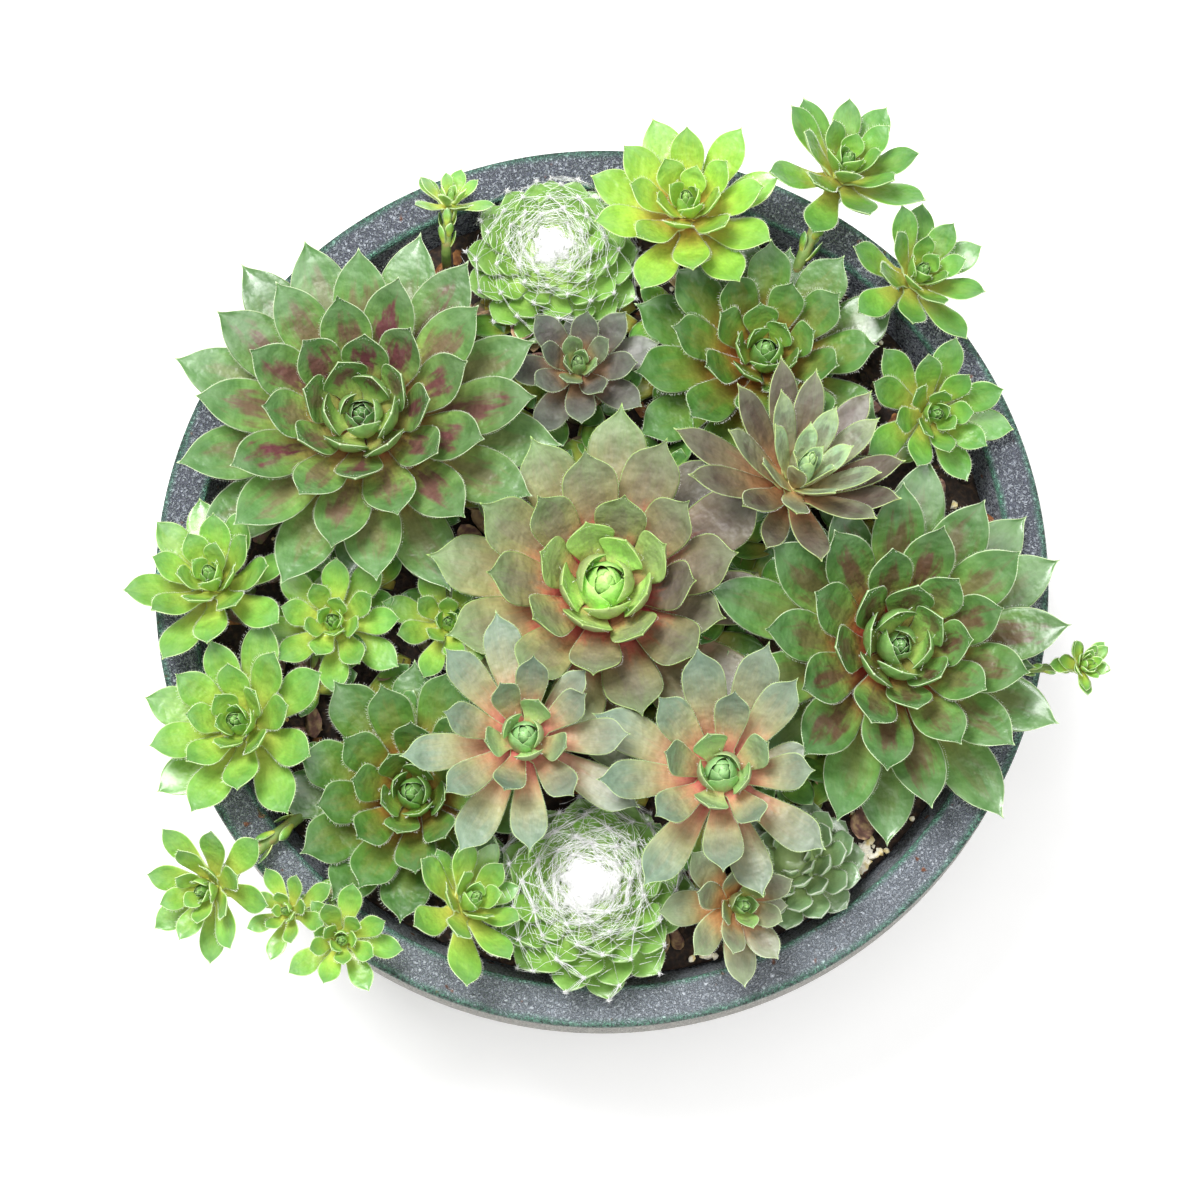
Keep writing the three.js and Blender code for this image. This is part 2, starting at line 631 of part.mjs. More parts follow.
const pot = potSolid();
const soil = PLANTS.reduce((ground, plant) => ground.subtract(holeSolid(plant)), soilSolid());
const grown = PLANTS.map(bareSolid);
PLANTS.forEach((plant, number) => {
  const rooms = PLANTS.slice(number + 1).flatMap(headsOf).map(crownRoom);
  const others = [pot, soil, ...grown.filter((_, other) => other !== number), ...rooms];
  grown[number] = plantSolid(plant, number, others);
});

const hensAndChicks = new THREE.Group();
hensAndChicks.add(named('pot', toGeometry(pot), POT_COLOUR, 0.55, 0.15));
hensAndChicks.add(named('soil', toGeometry(soil), SOIL_COLOUR, 0.95, 0));
PLANTS.forEach((plant, number) => {
  const colour = KINDS[plant.kind].colour;
  hensAndChicks.add(named(plant.name, toGeometry(grown[number]), colour, 0.5, 0));
});

export default hensAndChicks;
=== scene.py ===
"""Hens and chicks: houseleek rosettes in a low bowl. Metres, +Z up, origin at the foot's centre."""

import math

import bpy
import numpy as np
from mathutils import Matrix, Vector
from mathutils.kdtree import KDTree


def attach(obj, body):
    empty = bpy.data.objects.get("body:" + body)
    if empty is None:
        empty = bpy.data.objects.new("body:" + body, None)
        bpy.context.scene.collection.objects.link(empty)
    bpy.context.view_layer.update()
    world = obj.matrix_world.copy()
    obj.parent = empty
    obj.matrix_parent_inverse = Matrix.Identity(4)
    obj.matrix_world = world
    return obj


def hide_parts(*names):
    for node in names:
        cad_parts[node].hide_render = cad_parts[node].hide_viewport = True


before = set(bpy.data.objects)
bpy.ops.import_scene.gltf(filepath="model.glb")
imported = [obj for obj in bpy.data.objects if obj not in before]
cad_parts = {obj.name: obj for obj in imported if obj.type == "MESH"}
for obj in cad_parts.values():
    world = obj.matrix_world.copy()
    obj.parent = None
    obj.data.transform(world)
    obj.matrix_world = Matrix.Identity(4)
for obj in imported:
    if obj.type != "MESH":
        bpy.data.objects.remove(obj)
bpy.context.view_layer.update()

# ---------------------------------------------------------------- sizes, in millimetres

MM = 0.001
DEG = math.pi / 180
GOLDEN_ANGLE = 137.508 * DEG

POT_SIDES = 240
POT_HEIGHT = 115
RIM_RADIUS = 150
RIM_WIDTH = 13.5
RIM_EDGE = 1.2
COLLAR_DEPTH = 26
INNER_RADIUS = RIM_RADIUS - RIM_WIDTH
COLLAR_FOOT = POT_HEIGHT - COLLAR_DEPTH
WALL_TOP_RADIUS = 141.5
FOOT_RADIUS = 106
FOOT_EDGE = 2.5
FLOOR_RADIUS = 101
FLOOR_THICKNESS = 7
DRAIN_COUNT = 5
DRAIN_RADIUS = 6
DRAIN_SIDES = 32
DRAIN_CIRCLE = 62

SOIL_EDGE_HEIGHT = 105.5
SOIL_CROWN = 4
SOIL_SHOULDER = 3
LUMP_HEIGHT = 0.9
LUMP_PITCH = 21
SOIL_GAP = 0.3

STEM_DEPTH = 14
STEM_NECK = 3
RUNNER_DROP = 5

# The rosettes grow by the same rules as the solids.
NADIR_SLOPE = 100 * DEG
CORE_TOP = 0.22
CORE_SPREAD = 0.8
GROWTH = 1.7
OPENING = 0.85
BUD_TIGHTNESS = 4
THINNEST = 1.1
TIP_RISE = 0.1
UNEVEN_BEARING = 3
UNEVEN_SLOPE = 2
UNEVEN_SIZE = 0.04
FIRST_SEED = 1000
FORM_MATCH = 0.05

RAISE_ROUNDS = [[0, 4, 8], [13, 18, 24], [32]]
SIZE_STEPS = [1, 0.9, 0.8, 0.7, 0.6]
LEAF_FORMS = [
    (raised * DEG, size) for turn in RAISE_ROUNDS for size in SIZE_STEPS for raised in turn
]

# Shares of the rosette's radius: its core, its widest leaf, its shortest and longest leaf.
# Shares of a leaf's width: its thickness, and the narrowest leaf. Degrees: how flat the
# outermost and how steep the innermost leaf lies, and how much they curl. Hair in millimetres.
KIND_FIELDS = (
    "core", "core_height", "leaf_width", "shortest", "longest", "thickness", "narrowest",
    "low", "high", "curl_low", "curl_high", "hair", "outline",
)
KINDS = {
    name: dict(zip(KIND_FIELDS, values))
    for name, *values in (
        ("blotched", 0.16, 0.27, 0.31, 0.24, 0.88, 0.12, 0.60, 5, 84, 9, 105, 0.45, "pointed"),
        ("salmon", 0.17, 0.27, 0.33, 0.28, 0.88, 0.12, 0.60, 4, 82, 10, 105, 0.40, "spoon"),
        ("broad", 0.17, 0.26, 0.37, 0.24, 0.88, 0.12, 0.46, 4, 84, 12, 70, 1.1, "spoon"),
        ("grey", 0.16, 0.22, 0.31, 0.26, 0.92, 0.12, 0.60, 6, 82, 10, 105, 0.40, "spoon"),
        ("narrow", 0.15, 0.24, 0.27, 0.34, 0.90, 0.15, 0.50, 12, 82, 10, 22, 0.45, "lance"),
        ("dusky", 0.18, 0.26, 0.41, 0.32, 0.88, 0.15, 0.48, 12, 82, 12, 40, 0.45, "lance"),
        ("lime", 0.18, 0.26, 0.40, 0.30, 0.88, 0.15, 0.50, 12, 82, 14, 36, 0.9, "pointed"),
        ("cobweb", 0.55, 0.62, 0.40, 0.12, 0.50, 0.24, 0.30, 2, 84, 40, 8, 0.7, "scale"),
        ("scaly", 0.55, 0.80, 0.46, 0.22, 0.48, 0.30, 0.50, -8, 84, 34, 10, 0.6, "scale"),
    )
}

# name, kind, finish, x, y, lift, radius, leaves, lean, towards, turn, stem, root, arch
PLANTS = [
    ("chick_runner", "lime", "lime", 159, -30, 4.5, 13, 9, 25, 5, 179, 1.3, (121, -32), 0),
    ("chick_overhang", "lime", "lime", -127, -104, 8, 25, 20, 32, 218, 300, 2.0, (-96, -77), 4),
    ("chick_pair_overhang", "lime", "lime", -102, -113, 8, 17, 14, 18, 190, 34, 1.9, (-76, -97), 4),
    ("hen_scaly", "scaly", "scaly", 65, -97, -1.5, 23, 44, 12, 135, 0, 3.0, None, 0),
    ("cobweb_top", "cobweb", "cobweb", -17, 109, -0.5, 30, 64, 6, 90, 0, 3.4, None, 0),
    ("cobweb_bottom", "cobweb", "cobweb", -3, -108, 1, 34, 70, 8, 115, 60, 3.6, None, 0),
    ("chick_inner", "lime", "lime", -51, -16, 1, 24, 17, 0, 0, 30, 1.8, None, 0),
    ("chick_left_inner", "lime", "lime", -89, -16, 3, 27, 20, 4, 200, 0, 2.0, None, 0),
    ("hen_lower_left", "broad", "broad", -61, -73, 0, 47, 34, 6, 225, 20, 3.2, None, 0),
    ("hen_upper_right", "broad", "broad", 54, 74, 1, 47, 34, 5, 60, 0, 3.2, None, 0),
    ("chick_purple", "dusky", "dusky", -8, 70, 8, 28, 19, 4, 90, 50, 2.2, None, 0),
    ("hen_upper_left", "blotched", "blotched", -79, 51, 3, 67, 50, 4, 144, 15, 4.5, None, 0),
    ("hen_right", "blotched", "reddened", 95, -25, 3, 65, 48, 10, 345, 70, 4.5, None, 0),
    ("hen_centre", "salmon", "salmon", 1, -7, 5, 64, 40, 2, 90, 10, 4.2, None, 0),
    ("chick_left_upper", "lime", "lime", -128, -5, 6, 32, 22, 20, 125, 0, 2.4, (-119, -2), 2),
    ("chick_left_lower", "lime", "lime", -117, -52, 8, 36, 23, 14, 172, 60, 2.4, (-111, -50), 2),
    ("chick_right", "lime", "leafy", 109, 56, 8, 28, 20, 20, 320, 25, 2.2, None, 0),
    ("chick_bottom", "lime", "lime", -46, -113, 13, 30, 19, 28, 32, 75, 2.2, None, 0),
    ("chick_bronze", "dusky", "bronze", 43, -110, 13, 28, 18, 22, 325, 0, 2.2, None, 0),
    ("chick_top_right", "lime", "leafy", 104, 101, 8, 28, 19, 24, 30, 254, 2.2, (87, 87), 4),
    ("chick_top", "lime", "leafy", 80, 136, 10, 31, 20, 28, 62, 145, 2.2, (65, 105), 4),
    ("chick_stalked", "lime", "lime", -52, 126, 12, 16, 12, 40, 78, 45, 1.7, (-53, 111), 3),
    ("hen_lime", "lime", "bright", 29, 121, 15, 36, 24, 14, 105, 5, 2.8, (28, 114), 2),
    ("hen_purple", "narrow", "narrow", 63, 26, 21, 44, 28, 24, 52, 35, 3.0, None, 0),
    ("hen_lower_middle", "grey", "grey", -25, -59, 27, 42, 21, 0, 0, 0, 3.0, None, 0),
    ("hen_lower_right", "grey", "grey", 39, -71, 27, 46, 22, 0, 0, 50, 3.2, None, 0),
]
FIELDS = (
    "name", "kind", "finish", "x", "y", "lift", "radius", "leaves", "lean", "towards", "turn",
    "stem", "root", "arch",
)
SECOND_HEADS = {
    "chick_pair_overhang": [
        dict(x=-85, y=-122, lift=10, radius=21, leaves=17, lean=10, towards=270, turn=80)
    ],
}

# ---------------------------------------------------------------- materials


def linear(hex_code):
    """An sRGB hex colour as the linear colour that shaders take."""
    parts = [int(hex_code[i : i + 2], 16) / 255 for i in (1, 3, 5)]
    return [c / 12.92 if c <= 0.04045 else ((c + 0.055) / 1.055) ** 2.4 for c in parts] + [1.0]


def add_node(material, kind, settings=None, inputs=None):
    """Adds one node. An input takes a value or another node's output, a ramp its stops."""
    node = material.node_tree.nodes.new("ShaderNode" + kind)
    for name, value in (settings or {}).items():
        if name == "stops":
            ramp = node.color_ramp
            while len(ramp.elements) < len(value):
                ramp.elements.new(0.5)
            for element, (place, colour) in zip(ramp.elements, value):
                element.position = place
                element.color = linear(colour) if isinstance(colour, str) else [colour] * 3 + [1]
        else:
            setattr(node, name, value)
    for name, value in (inputs or {}).items():
        if isinstance(value, bpy.types.NodeSocket):
            material.node_tree.links.new(value, node.inputs[name])
        else:
            node.inputs[name].default_value = value
    return node


def new_material(name):
    material = bpy.data.materials.new(name)
    material.use_nodes = True
    material.node_tree.nodes.clear()
    return material


def finish_material(material, colour, bump_height, bump_distance, settings):
    """Principled surface with a bump, as the material's output."""
    bump = add_node(material, "Bump", {}, {"Distance": bump_distance, "Height": bump_height})
    surface = add_node(
        material, "BsdfPrincipled", {},
        {"Base Color": colour, "Normal": bump.outputs[0], **settings},
    )
    add_node(material, "OutputMaterial", {}, {"Surface": surface.outputs[0]})
    return material


# What each point of a leaf tells its material: how far along and across the leaf it is, its
# distance to the margin in millimetres, the leaf's age and its own chance, how far toward the
# rosette's right side it lies, which gets mauve painted shade, and whether it is underneath.
MARKS = ("along", "across", "rim", "age", "chance", "sun", "under")

# Some leaves are matt with bloom and hardly glossy.
MATT = dict(coat=0.12, sheen=0.38)

# Colours along a leaf from its root to its tip: of the outer leaves and of the young inner
# ones. Then its margin and its underside, and with their strengths its blotch, the flush near
# its root and the mauve of the rosette's right side, away from the key light: partly the
# leaves' own tint, partly painted shade.
LEAF_FINISHES = {
    "blotched": dict(
        outer=[(0.0, "#c05e50"), (0.13, "#bc9c62"), (0.26, "#b0bc68"), (0.42, "#92b058"),
               (0.62, "#70984c"), (0.82, "#547e42"), (1.0, "#568248")],
        inner=[(0.0, "#b8cc6c"), (0.3, "#88b256"), (0.6, "#669648"), (1.0, "#548244")],
        margin="#d0e0b4", blotch=("#723046", 0.95), flush=("#b8443c", 0.55), under="#84a85c",
        mauve=("#7c7c5c", 0.15),
    ),
    "reddened": dict(
        outer=[(0.0, "#a83c34"), (0.16, "#a25a40"), (0.30, "#a2a254"), (0.44, "#88ac54"),
               (0.62, "#628e44"), (0.82, "#4e7a3e"), (1.0, "#4e7c42")],
        inner=[(0.0, "#b8c868"), (0.3, "#90bc5c"), (0.6, "#76aa54"), (1.0, "#669a50")],
        margin="#d0e4b4", blotch=("#642834", 0.85), flush=("#a0302c", 0.75), under="#7ca256",
        mauve=("#74804e", 0.15),
    ),
    "salmon": dict(
        outer=[(0.0, "#cc4454"), (0.16, "#d87c70"), (0.32, "#c8a870"), (0.52, "#a8a068"),
               (0.78, "#7c885e"), (1.0, "#7a9862")],
        inner=[(0.0, "#d8907c"), (0.16, "#c8d880"), (0.4, "#b8ea78"), (1.0, "#c2f088")],
        margin="#b4d47c", blotch=("#64585e", 0.45), flush=("#cc3c4a", 0.65), under="#86705e",
        mauve=("#64504f", 0.80), **MATT,
    ),
    "grey": dict(
        outer=[(0.0, "#c44a48"), (0.12, "#cc8474"), (0.28, "#b8a074"), (0.50, "#9c9c70"),
               (0.76, "#74866e"), (1.0, "#6a8470")],
        inner=[(0.0, "#c8a078"), (0.25, "#acd080"), (0.7, "#98c87c"), (1.0, "#a0ce8a")],
        margin="#bcd690", blotch=("#80786e", 0.35), flush=("#cc5a50", 0.35), under="#8f8468",
        mauve=("#8c8878", 0.35), **MATT,
    ),
    "broad": dict(
        outer=[(0.0, "#844426"), (0.18, "#865e2c"), (0.38, "#768230"), (0.56, "#5c8430"),
               (0.8, "#487630"), (1.0, "#467234")],
        inner=[(0.0, "#9c8a3c"), (0.3, "#86ac46"), (0.6, "#70a446"), (1.0, "#6c9e4c")],
        margin="#bcd4a0", blotch=("#84703a", 0.35), flush=("#a8602c", 0.45), under="#6c9440",
        mauve=("#648c4c", 0.3),
    ),
    "narrow": dict(
        outer=[(0.0, "#c8744e"), (0.14, "#b08a58"), (0.36, "#887c58"), (0.7, "#645e4e"),
               (0.9, "#666450"), (1.0, "#7c8854")],
        inner=[(0.0, "#e4dc90"), (0.3, "#c0d2a0"), (0.7, "#aacaa0"), (1.0, "#b4d48c")],
        margin="#bcd488", blotch=("#543c3e", 0.6), flush=("#a8584a", 0.3), under="#8c6a4c",
        mauve=("#503e3c", 0.5), opened=0.70, **MATT,
    ),
    "dusky": dict(
        outer=[(0.0, "#9c5c44"), (0.2, "#8c7850"), (0.42, "#686658"), (0.8, "#5c6258"),
               (1.0, "#62745a")],
        inner=[(0.0, "#b0ac60"), (0.35, "#9abc74"), (0.8, "#8aae70"), (1.0, "#98b87c")],
        margin="#acbe90", blotch=("#504448", 0.5), flush=("#905a44", 0.35), under="#645048",
        mauve=("#5a5850", 0.55), **MATT,
    ),
    "bronze": dict(
        outer=[(0.0, "#d88c58"), (0.2, "#ccaa6c"), (0.42, "#a0a070"), (0.7, "#849070"),
               (1.0, "#80966c")],
        inner=[(0.0, "#c8d478"), (0.4, "#a0c868"), (0.8, "#8cbc66"), (1.0, "#98c474")],
        margin="#c4d6a4", blotch=("#7c6c62", 0.45), flush=("#c87850", 0.45), under="#8c7854",
        mauve=("#847a70", 0.5), **MATT,
    ),
    "lime": dict(
        outer=[(0.0, "#c0b450"), (0.13, "#b4c256"), (0.32, "#a2c250"), (0.6, "#84b64a"),
               (0.85, "#6ca248"), (1.0, "#60944a")],
        inner=[(0.0, "#c0d058"), (0.4, "#9cc654"), (0.8, "#80b652"), (1.0, "#84b85e")],
        margin="#d0e6a4", blotch=("#94a03c", 0.25), flush=("#ccc054", 0.3), under="#8eb84e",
        mauve=("#6cac4c", 0.4),
    ),
    "leafy": dict(
        outer=[(0.0, "#b4a84c"), (0.13, "#a0b44c"), (0.32, "#86b044"), (0.6, "#6aa03e"),
               (0.85, "#568e3c"), (1.0, "#508440")],
        inner=[(0.0, "#a8c450"), (0.4, "#82b448"), (0.8, "#6aa044"), (1.0, "#70a450")],
        margin="#c4dc9c", blotch=("#84943c", 0.25), flush=("#c8a04c", 0.3), under="#80aa48",
        mauve=("#5c9842", 0.4),
    ),
    "bright": dict(
        outer=[(0.0, "#d8944c"), (0.13, "#d0bc50"), (0.32, "#b8ca4a"), (0.6, "#98c246"),
               (0.85, "#80b444"), (1.0, "#70a448")],
        inner=[(0.0, "#c8d656"), (0.4, "#a8d050"), (0.8, "#90c252"), (1.0, "#96c460")],
        margin="#d8eca0", blotch=("#b0bc40", 0.15), flush=("#e09858", 0.35), under="#9ccc50",
        mauve=("#84c448", 0.4),
    ),
    "cobweb": dict(
        outer=[(0.0, "#a8c868"), (0.3, "#8eba54"), (0.7, "#78a844"), (1.0, "#80ac54")],
        inner=[(0.0, "#b0d078"), (0.5, "#a0c870"), (1.0, "#b4d498")],
        margin="#bcd69c", blotch=("#9cb060", 0.2), flush=("#bcd078", 0.2), under="#98c470",
        mauve=("#8cbc64", 0.4),
    ),
    "scaly": dict(
        outer=[(0.0, "#8ca464"), (0.4, "#7c9a60"), (0.8, "#729264"), (1.0, "#7c9870")],
        inner=[(0.0, "#90ac6c"), (0.5, "#88a874"), (1.0, "#90ac84")],
        margin="#c4d0b8", blotch=("#868a60", 0.2), flush=("#929760", 0.2), under="#82a068",
        mauve=("#729866", 0.4),
    ),
}

# Millimetres.
MARGIN_WIDTH = 0.20
SWELL_PITCH = 6
DIMPLE_PITCH = 1.3

# Shares of a leaf's length: how far uneven growth shifts its colours, where its blotch is.
UNEVEN_COLOUR = 0.34
BLOTCH_PLACE = 0.58
BLOTCH_LENGTHWISE = 2.9
BLOTCH_CROSSWISE = 1.15


def leaf_skin(name, colours):
    """Fleshy leaf under a smooth waxy skin: a soft broad gloss with whitish bloom, some depth,
    and colours that run along each leaf in ragged streaks."""
    material = new_material(name)
    read = {
        mark: add_node(material, "Attribute", {"attribute_name": mark}).outputs["Fac"]
        for mark in MARKS
    }
    place = add_node(material, "TexCoord").outputs["Object"]
    mauve, mauve_strength = colours["mauve"]
    flush, flush_strength = colours["flush"]
    blotch, blotch_strength = colours["blotch"]

    # How strong each effect is: the mark it follows, its course, over which values, and from
    # what to what. Leaves on the rosette's right side, away from the key light, are mauver and
    # darker: partly their own tint, partly painted shade of that side. Young ones keep their own
    # colours, blotches fade with age, each leaf is a little lighter or darker, and the margin
    # is thin and lets light through, so it looks pale.
    share = {
        effect: add_node(
            material, "MapRange", {"interpolation_type": course},
            {"Value": read[mark], "From Min": low, "From Max": high, "To Min": at_low,
             "To Max": at_high},
        ).outputs[0]
        for effect, mark, course, low, high, at_low, at_high in (
            # Mauve painted shade toward the rosette's right side, partly the leaves' own tint.
            ("mauve_shade", "sun", "LINEAR", 0.35, 0.95, 0.0, mauve_strength),
            ("grown", "age", "SMOOTHSTEP", 0.06, colours.get("opened", 0.36), 0.0, 1.0),
            ("faded", "age", "LINEAR", 0.62, 1.0, 1.0, 0.35),
            ("blotched", "chance", "LINEAR", 0.0, 1.0, 0.6 * blotch_strength, blotch_strength),
            ("shade", "chance", "LINEAR", 0.0, 1.0, 1.12, 0.86),
            ("edge", "rim", "SMOOTHSTEP", MARGIN_WIDTH * 2, MARGIN_WIDTH * 0.7, 0.0, 0.85),
        )
    }

    # A leaf's own sheet, stretched along it and different for each leaf, carries the streaks.
    sheet = {
        axis: add_node(
            material, "Math", {"operation": "MULTIPLY"}, {0: read[mark], 1: stretch}
        ).outputs[0]
        for axis, mark, stretch in (
            ("X", "across", 3.2), ("Y", "along", 4.5), ("Z", "chance", 60.0)
        )
    }
    sheet = add_node(material, "CombineXYZ", {}, sheet).outputs[0]
    streaks = add_node(
        material, "TexNoise", {},
        {"Vector": sheet, "Scale": 1.0, "Detail": 4.0, "Roughness": 0.6, "Distortion": 0.4},
    ).outputs["Fac"]
    clouds = add_node(
        material, "TexNoise", {},
        {"Vector": place, "Scale": 1 / (SWELL_PITCH * MM), "Detail": 2.5, "Roughness": 0.5},
    ).outputs["Fac"]

    # Uneven growth shifts the colours along each leaf.
    shifted = add_node(
        material, "Math", {"operation": "MULTIPLY_ADD"},
        {0: streaks, 1: UNEVEN_COLOUR, 2: read["along"]},
    ).outputs[0]
    along = add_node(
        material, "Math", {"operation": "SUBTRACT"}, {0: shifted, 1: UNEVEN_COLOUR / 2}
    ).outputs[0]
    inner, outer = (
        add_node(material, "ValToRGB", {"stops": colours[which]}, {"Fac": along}).outputs["Color"]
        for which in ("inner", "outer")
    )
    # Mauve painted shade of the rosette's right side, partly the leaves' own tint, over the outer
    # leaves' colours.
    outer = add_node(
        material, "Mix", {"data_type": "RGBA"}, {0: share["mauve_shade"], 6: outer, 7: linear(mauve)}
    ).outputs[2]

    # A flush near the root, in streaks, only in grown leaves.
    flushed = add_node(
        material, "Math", {"operation": "MULTIPLY_ADD"}, {0: streaks, 1: -0.5, 2: read["along"]}
    ).outputs[0]
    flushed = add_node(
        material, "MapRange", {"interpolation_type": "SMOOTHSTEP"},
        {"Value": flushed, "From Min": 0.30, "From Max": -0.04, "To Max": flush_strength},
    ).outputs[0]
    flushed = add_node(
        material, "Math", {"operation": "MULTIPLY"}, {0: flushed, 1: share["grown"]}
    ).outputs[0]

    # A blotch in the middle of the upper half, ragged and streaky at its edges.
    off_length = add_node(
        material, "Math", {"operation": "MULTIPLY_ADD"},
        {0: read["along"], 1: BLOTCH_LENGTHWISE, 2: -BLOTCH_PLACE * BLOTCH_LENGTHWISE},
    ).outputs[0]
    off_width = add_node(
        material, "Math", {"operation": "MULTIPLY"}, {0: read["across"], 1: BLOTCH_CROSSWISE}
    ).outputs[0]
    off = add_node(material, "CombineXYZ", {}, {"X": off_length, "Y": off_width}).outputs[0]
    off = add_node(material, "VectorMath", {"operation": "LENGTH"}, {0: off}).outputs["Value"]
    off = add_node(
        material, "Math", {"operation": "MULTIPLY_ADD"}, {0: streaks, 1: 2.2, 2: off}
    ).outputs[0]
    spot = add_node(
        material, "MapRange", {"interpolation_type": "SMOOTHSTEP"},
        {"Value": off, "From Min": 1.96, "From Max": 1.30},
    ).outputs[0]
    for part in (share["blotched"], share["faded"]):
        spot = add_node(material, "Math", {"operation": "MULTIPLY"}, {0: spot, 1: part}).outputs[0]

    # Fine lengthwise flecks and darker clouds of green under the skin.
    fleck_sheet = add_node(
        material, "VectorMath", {"operation": "MULTIPLY"}, {0: sheet, 1: (3.5, 3.0, 1.0)}
    ).outputs[0]
    flecks = add_node(
        material, "TexNoise", {},
        {"Vector": fleck_sheet, "Scale": 1.0, "Detail": 5.0, "Roughness": 0.65},
    ).outputs["Fac"]
    flecks = add_node(
        material, "MapRange", {},
        {"Value": flecks, "From Min": 0.32, "From Max": 0.68, "To Min": 0.88, "To Max": 1.09},
    ).outputs[0]
    mottle = add_node(
        material, "ValToRGB", {"stops": [(0.30, 0.55), (0.50, 0.94), (0.72, 1.05)]}, {"Fac": clouds}
    ).outputs["Color"]

    # A thin film of bloom lies in patches, most of it toward the tip.
    bloom = add_node(
        material, "Math", {"operation": "MULTIPLY"}, {0: clouds, 1: read["along"]}
    ).outputs[0]
    bloom = add_node(
        material, "MapRange", {},
        {"Value": bloom, "From Min": 0.30, "From Max": 0.62, "To Max": 0.12},
    ).outputs[0]
    beneath = add_node(
        material, "Math", {"operation": "MULTIPLY"}, {0: read["under"], 1: 0.6}
    ).outputs[0]

    # The layers of colour, from the young leaf's own to the margin's.
    colour = inner
    for blend, amount, over in (
        ("MIX", share["grown"], outer),
        ("MIX", flushed, linear(flush)),
        ("MIX", spot, linear(blotch)),
        ("MULTIPLY", 1.0, flecks),
        ("MULTIPLY", 0.34, mottle),
        ("MULTIPLY", 1.0, share["shade"]),
        ("MIX", bloom, linear("#b6c2a6")),
        ("MIX", beneath, linear(colours["under"])),
        ("MIX", share["edge"], linear(colours["margin"])),
    ):
        colour = add_node(
            material, "Mix", {"data_type": "RGBA", "blend_type": blend},
            {0: amount, 6: colour, 7: over},
        ).outputs[2]

    # Shallow swells break the gloss. Dimples of the skin are too fine to see on a real leaf
    # and are drawn coarser.
    dimples = add_node(
        material, "TexNoise", {}, {"Vector": place, "Scale": 1 / (DIMPLE_PITCH * MM), "Detail": 3.0}
    ).outputs["Fac"]
    relief = add_node(
        material, "Math", {"operation": "MULTIPLY_ADD"}, {0: dimples, 1: 0.05, 2: clouds}
    ).outputs[0]
    sheen = colours.get("sheen", 0.30)
    rough = add_node(
        material, "MapRange", {}, {"Value": clouds, "To Min": sheen, "To Max": sheen + 0.18}
    ).outputs[0]
    return finish_material(
        material, colour, relief, 1.3 * MM,
        {"Roughness": rough, "IOR": 1.45, "Subsurface Weight": 0.12,
         "Subsurface Radius": (0.0010, 0.0014, 0.0005), "Subsurface Scale": 1.0,
         "Coat Weight": colours.get("coat", 0.55), "Coat Roughness": 0.18},
    )


# Finishes with one grain: its pitch in millimetres, its octaves, its colours, its depth in
# millimetres, and the surface.
GRAINED = {
    # White plant hair: dry and matt, so that the margins look frosted.
    "white_leaf_hair": dict(
        pitch=3, octaves=2, stops=[(0.3, "#e4ead8"), (0.6, "#fbfcf4")], depth=0.02,
        surface={"Roughness": 0.8},
    ),
    # Cobweb wool spun from tip to tip: pure white, soft, with a faint sheen.
    "cobweb_wool": dict(
        pitch=0.5, octaves=4, stops=[(0.25, "#f6f7f2"), (0.6, "#ffffff")], depth=0.3,
        surface={"Roughness": 1.0, "Sheen Weight": 0.5},
    ),
    # Young runner stem: green to pinkish, slightly ribbed and matt.
    "runner_stem_skin": dict(
        pitch=4, octaves=4, stops=[(0.3, "#5c7a38"), (0.5, "#748c44"), (0.7, "#8c7a4c")],
        depth=0.2, surface={"Roughness": 0.55},
    ),
    # Perlite, an expanded volcanic glass: white to straw yellow, matt and pitted.
    "perlite_grain": dict(
        pitch=5, octaves=5, depth=0.4, surface={"Roughness": 0.9},
        stops=[(0.3, "#d0a860"), (0.42, "#ecd898"), (0.52, "#f8f2dc"), (0.8, "#fcfaf2")],
    ),
    # Composted pine bark: red-brown plates with darker fibres.
    "pine_bark_chip": dict(
        pitch=3, octaves=6, stops=[(0.3, "#3a2114"), (0.5, "#7a4a28"), (0.7, "#b07a44")],
        depth=0.6, surface={"Roughness": 0.8},
    ),
    # Matt white paper sheet, so lit that shadows on it stay faint.
    "white_paper": dict(
        pitch=2, octaves=2, stops=[(0.0, "#f6f6f6"), (1.0, "#fbfbfb")], depth=0,
        surface={"Roughness": 0.95, "Emission Color": (1.0, 1.0, 1.0, 1.0),
                 "Emission Strength": 0.20},
    ),
}


def grained(name):
    """A finish with one grain, as the table above gives it."""
    finish = GRAINED[name]
    material = new_material(name)
    place = add_node(material, "TexCoord").outputs["Object"]
    grain = add_node(
        material, "TexNoise", {},
        {"Vector": place, "Scale": 1 / (finish["pitch"] * MM), "Detail": finish["octaves"]},
    ).outputs["Fac"]
    colour = add_node(
        material, "ValToRGB", {"stops": finish["stops"]}, {"Fac": grain}
    ).outputs["Color"]
    return finish_material(material, colour, grain, finish["depth"] * MM, finish["surface"])


# Millimetres.
DRIFT_PITCH = 11
SPECK_PITCH = 4.5
GRAIN_PITCH = 1.05
COPPER_BAND = 2.6


